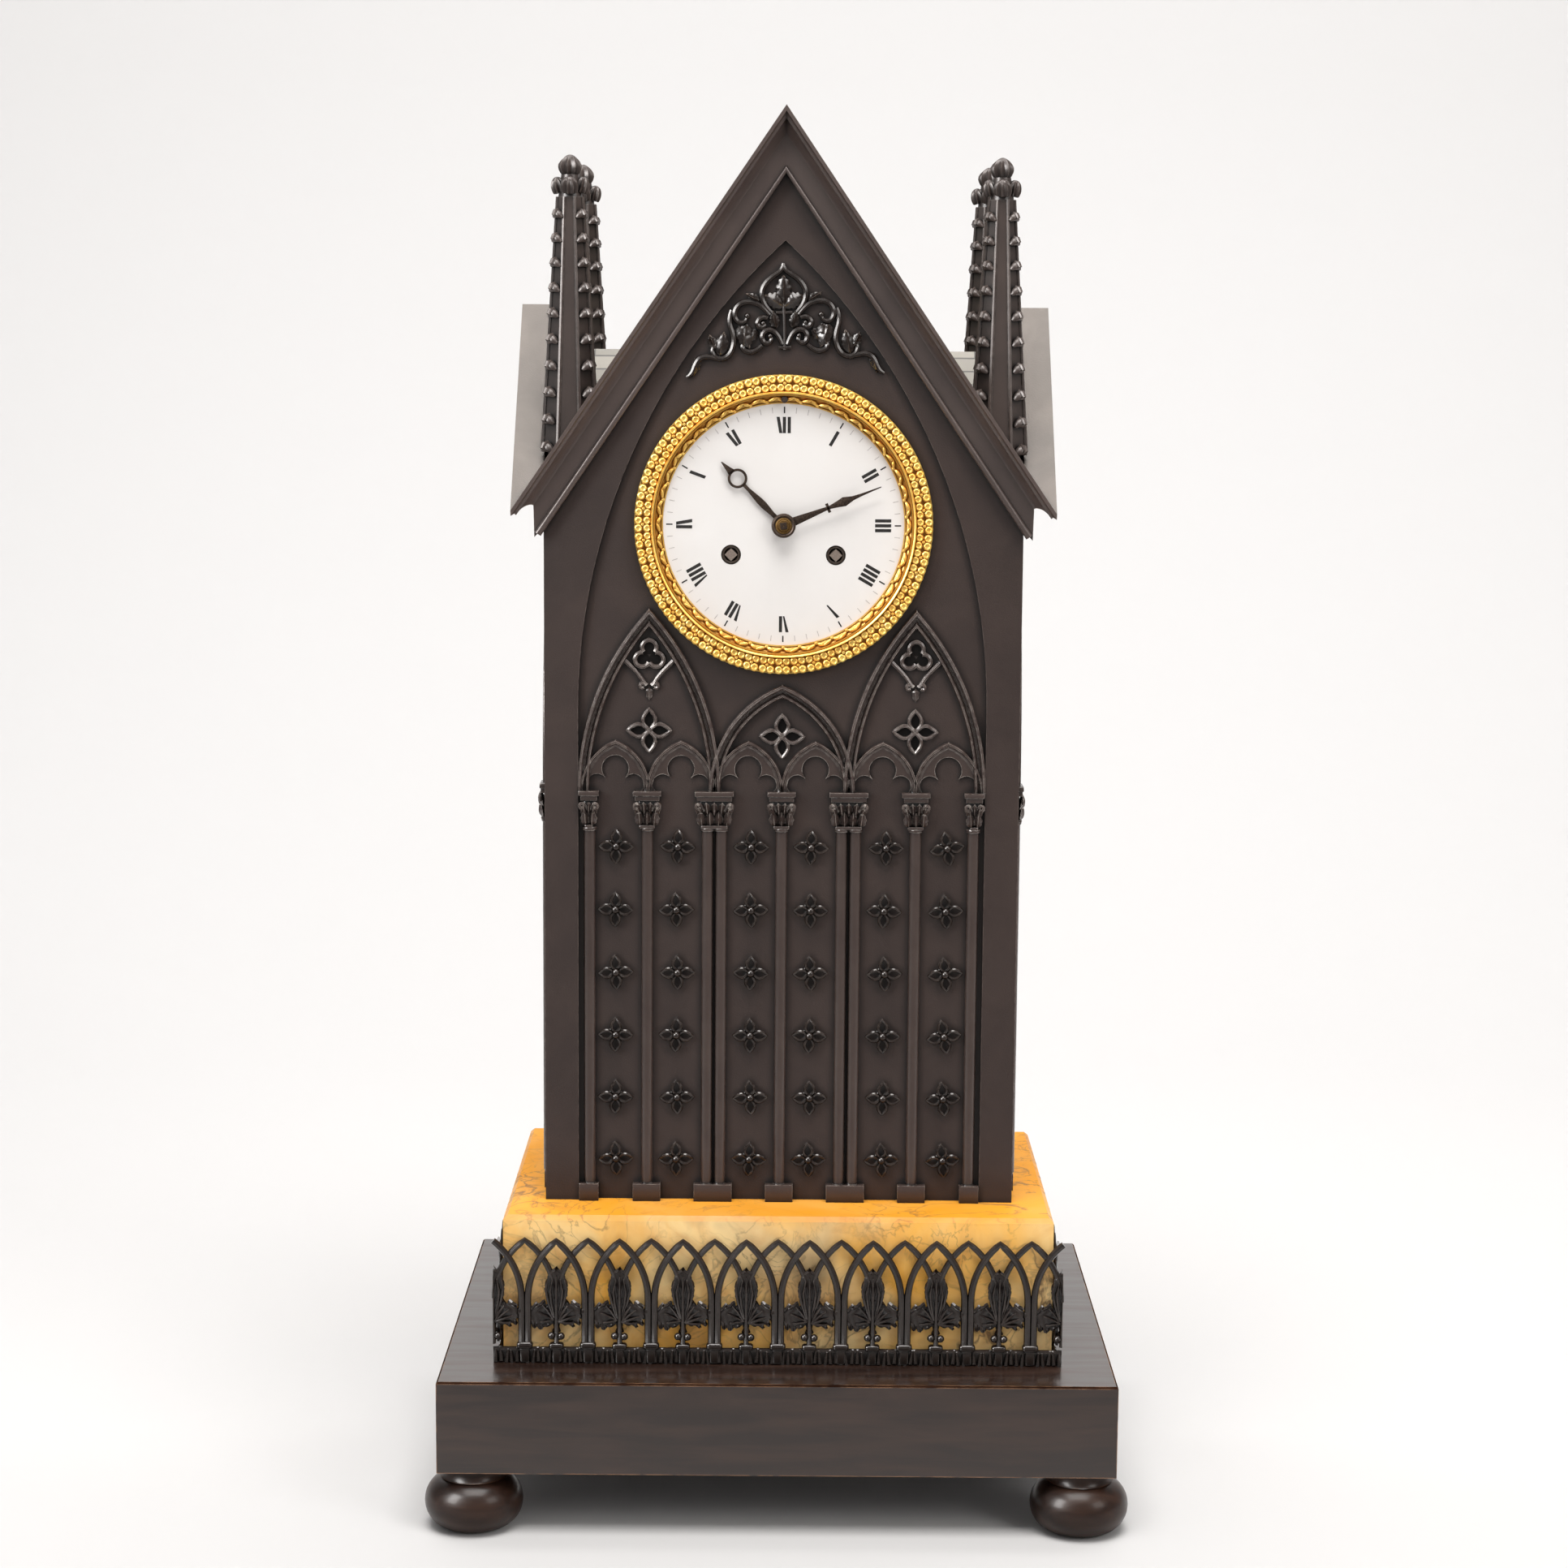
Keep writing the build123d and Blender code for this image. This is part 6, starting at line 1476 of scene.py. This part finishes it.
def handCollet():
    c = collet
    place = dialPlace(hands["minuteY"] - hands["thick"])
    bm = bmesh.new()
    turned(bm, c["rim"], place)
    piece("handCollet", bm, handSteel, "minute_hand", ("hand_collet",))
    bm = bmesh.new()
    turned(bm, c["boss"], place, 40)
    piece("colletBoss", bm, agedBrass, "minute_hand")
    bm = bmesh.new()
    square = [(c["square"] * x, c["square"] * y) for x, y in ((-1, -1), (1, -1), (1, 1), (-1, 1))]
    end = cutPlate([square, circlePath(0, 0, c["dimple"], steps=16)], c["squareThick"], 0.1)
    stamp(bm, end, place @ at(0, 0, c["squareOut"], c["squareTurn"]))
    piece("arborSquare", bm, handSteel, "minute_hand")


hourHand()
minuteHand()
handCollet()

# flanged bushes line the winding holes, in the darkened brass that paints the shade deep in them
bush = {"back": -43.4, "bore": 2.7, "collar": 3.5, "flange": 4.9}


def windingBushes():
    b = bush
    bm = bmesh.new()
    ring = [(b["bore"], -0.5), (b["flange"], -0.5), (b["flange"], 0), (b["collar"], 0.1), (b["collar"], 0.9),
            (b["collar"] - 0.2, 1.1), (b["bore"], 1.1), (b["bore"], -0.5)]
    for side in (-1, 1):
        turned(bm, ring, dialPlace(b["back"]) @ at(side * dial["windX"], -dial["windDown"]), 40)
    piece("windingBushes", bm, shadedBrass)


windingBushes()
print("hands and winding bushes built")

# the CAD nodes that stay get their finish
finishes = {
    ebonisedWood: "base_slab",
    plateBronze: "front_plate front_panel back_plate left_plate right_plate corner_blocks",
    # painted lighter for the light on the rakes
    litCorniceBronze: "cornice_front cornice_back",
    # partly dust, partly painted sheen
    dustAndSheenBronze: "cornice_left cornice_right",
    roofSlates: "roof",
    yellowMarble: "marble_plinth",
    chasedGilt: "rear_ring rear_door door_pin",
    arborSteel: "going_arbor strike_arbor",
    darkSteel: "regulator_arbor anchor pendulum_rod hammer cannon_pinion",
    shadedBrass: "dial_ring movement_front_plate",
    plateBrass: "movement_back_plate plate_pillars movement_straps second_wheel centre_wheel third_wheel "
                "escape_wheel pin_wheel fly going_barrel strike_barrel minute_wheel hour_wheel back_cock "
                "pendulum_bob bell_stand",
    bellMetal: "bell",
    silkThread: "suspension_silk",
}
for material, names in finishes.items():
    for name in names.split():
        mesh = nodes[name].data
        mesh.materials.clear()
        mesh.materials.append(material)
print("finishes set")

# pale floor that rises into a backdrop, in metres like the lights and the camera
stage = {"white": (0.6, 0.592, 0.59, 1.0), "reflectedShade": (0.16, 0.154, 0.15, 1.0), "halfWide": 4, "front": -3,
         "back": 1.5, "curve": 0.8, "curveSteps": 11, "high": 3.4}


def sweepMesh():
    s = stage
    foot = s["back"] - s["curve"]
    turns = [pi / 2 * i / s["curveSteps"] for i in range(1, s["curveSteps"] + 1)]
    profile = [(foot, 0.0)]
    profile += [(foot + s["curve"] * sin(turn), s["curve"] - s["curve"] * cos(turn)) for turn in turns]
    profile.append((s["back"], s["high"]))
    bm = bmesh.new()
    verts = [bm.verts.new((side * s["halfWide"], s["front"], 0)) for side in (-1, 1)]
    run = [bm.edges.new(verts)]
    for y, z in profile:
        grown = bmesh.ops.extrude_edge_only(bm, edges=run)["geom"]
        run = [e for e in grown if isinstance(e, bmesh.types.BMEdge)]
        for vert in [v for v in grown if isinstance(v, bmesh.types.BMVert)]:
            vert.co.y, vert.co.z = y, z
    mesh = bpy.data.meshes.new("sweepFloor")
    bmesh.ops.recalc_face_normals(bm, faces=bm.faces)
    bm.to_mesh(mesh)
    bm.free()
    if mesh.polygons[0].normal.z < 0:
        mesh.flip_normals()
    for face in mesh.polygons:
        face.use_smooth = True
    return mesh


def sweepMaterial():
    material, tree, shader = newMaterial("paperSweep", **{"Roughness": 0.85, "Specular IOR Level": 0.2})
    # painted reflection: to glossy rays the floor in front of the clock is painted dark, so the bronze
    # mirrors dark there, not the white floor
    forward = times(tree, splitUp(tree, objectCoords(tree))[1], -1.0)
    rays = addNode(tree, "ShaderNodeLightPath").outputs
    mirrored = times(tree, rays["Is Glossy Ray"], ramp(tree, forward, (0.1, 0.0), (0.45, 1.0)))
    colourInto(tree, shader, mixColour(tree, mirrored, stage["white"], stage["reflectedShade"]))
    # a camera behind the backdrop looks through it
    behind = addNode(tree, "ShaderNodeNewGeometry").outputs["Backfacing"]
    seeThrough = addNode(tree, "ShaderNodeMixShader")
    tree.links.new(times(tree, behind, rays["Is Camera Ray"]), seeThrough.inputs[0])
    tree.links.new(shader.outputs[0], seeThrough.inputs[1])
    tree.links.new(addNode(tree, "ShaderNodeBsdfTransparent").outputs[0], seeThrough.inputs[2])
    output = next(node for node in tree.nodes if node.type == "OUTPUT_MATERIAL")
    tree.links.new(seeThrough.outputs[0], output.inputs["Surface"])
    return material


def buildStage():
    mesh = sweepMesh()
    mesh.materials.append(sweepMaterial())
    floor = bpy.data.objects.new("sweepFloor", mesh)
    scene.collection.objects.link(floor)


# lights; the left strip shows only in reflections
worldLook = {"colour": (0.97, 0.965, 0.96, 1), "strength": 0.34}
lights = {
    "keyRight": {"place": (1.7, -1.5, 1.4), "target": (0, 0, 0.3), "size": (1.0, 1.0), "watts": 16.5,
                 "colour": (1.0, 0.985, 0.96)},
    "topSoft": {"place": (0.0, -0.6, 2.0), "target": (0, 0, 0.3), "size": (1.3, 1.0), "watts": 41.0,
                "colour": (1.0, 0.985, 0.965)},
    "stripLeft": {"place": (-1.3, -1.0, 1.1), "target": (0, 0, 0.3), "size": (0.7, 1.2), "watts": 62.0,
                  "colour": (1.0, 0.99, 0.98), "diffuse": False},
    "backWash": {"place": (0.0, 0.5, 2.4), "target": (0, 1.5, 0.8), "size": (2.6, 0.5), "watts": 38.5,
                 "colour": (1.0, 0.995, 0.99)},
}


def areaLight(name, place, target, size, watts, colour, diffuse=True):
    data = bpy.data.lights.new(name, "AREA")
    data.shape = "RECTANGLE"
    data.size, data.size_y = size
    data.energy = watts
    data.color = colour
    light = bpy.data.objects.new(name, data)
    light.location = place
    light.rotation_euler = (Vector(target) - Vector(place)).to_track_quat("-Z", "Y").to_euler()
    light.visible_diffuse = diffuse
    scene.collection.objects.link(light)


def buildLight():
    world = bpy.data.worlds.new("studio")
    world.use_nodes = True
    scene.world = world
    background = world.node_tree.nodes["Background"]
    setInputs(background, Color=worldLook["colour"], Strength=worldLook["strength"])
    for name, settings in lights.items():
        areaLight(name, **settings)


# the camera fitted to the photograph
camera = {"focalPixels": 3927, "photoPixels": 1932, "sensor": 36, "place": (0.0009, -1.293, 0.4714),
          "down": 8.24, "roll": 0.43, "near": 0.05, "far": 20}


def buildCamera():
    c = camera
    data = bpy.data.cameras.new("photoView")
    data.sensor_width = c["sensor"]
    data.lens = c["focalPixels"] / c["photoPixels"] * c["sensor"]
    data.clip_start, data.clip_end = c["near"], c["far"]
    eye = bpy.data.objects.new("photoView", data)
    look = Matrix.Rotation(radians(90 - c["down"]), 4, "X") @ Matrix.Rotation(radians(c["roll"]), 4, "Z")
    eye.matrix_world = Matrix.Translation(c["place"]) @ look
    scene.collection.objects.link(eye)
    scene.camera = eye


buildStage()
buildLight()
buildCamera()
scene.view_settings.view_transform = "Standard"
print("stage, lights and camera set")
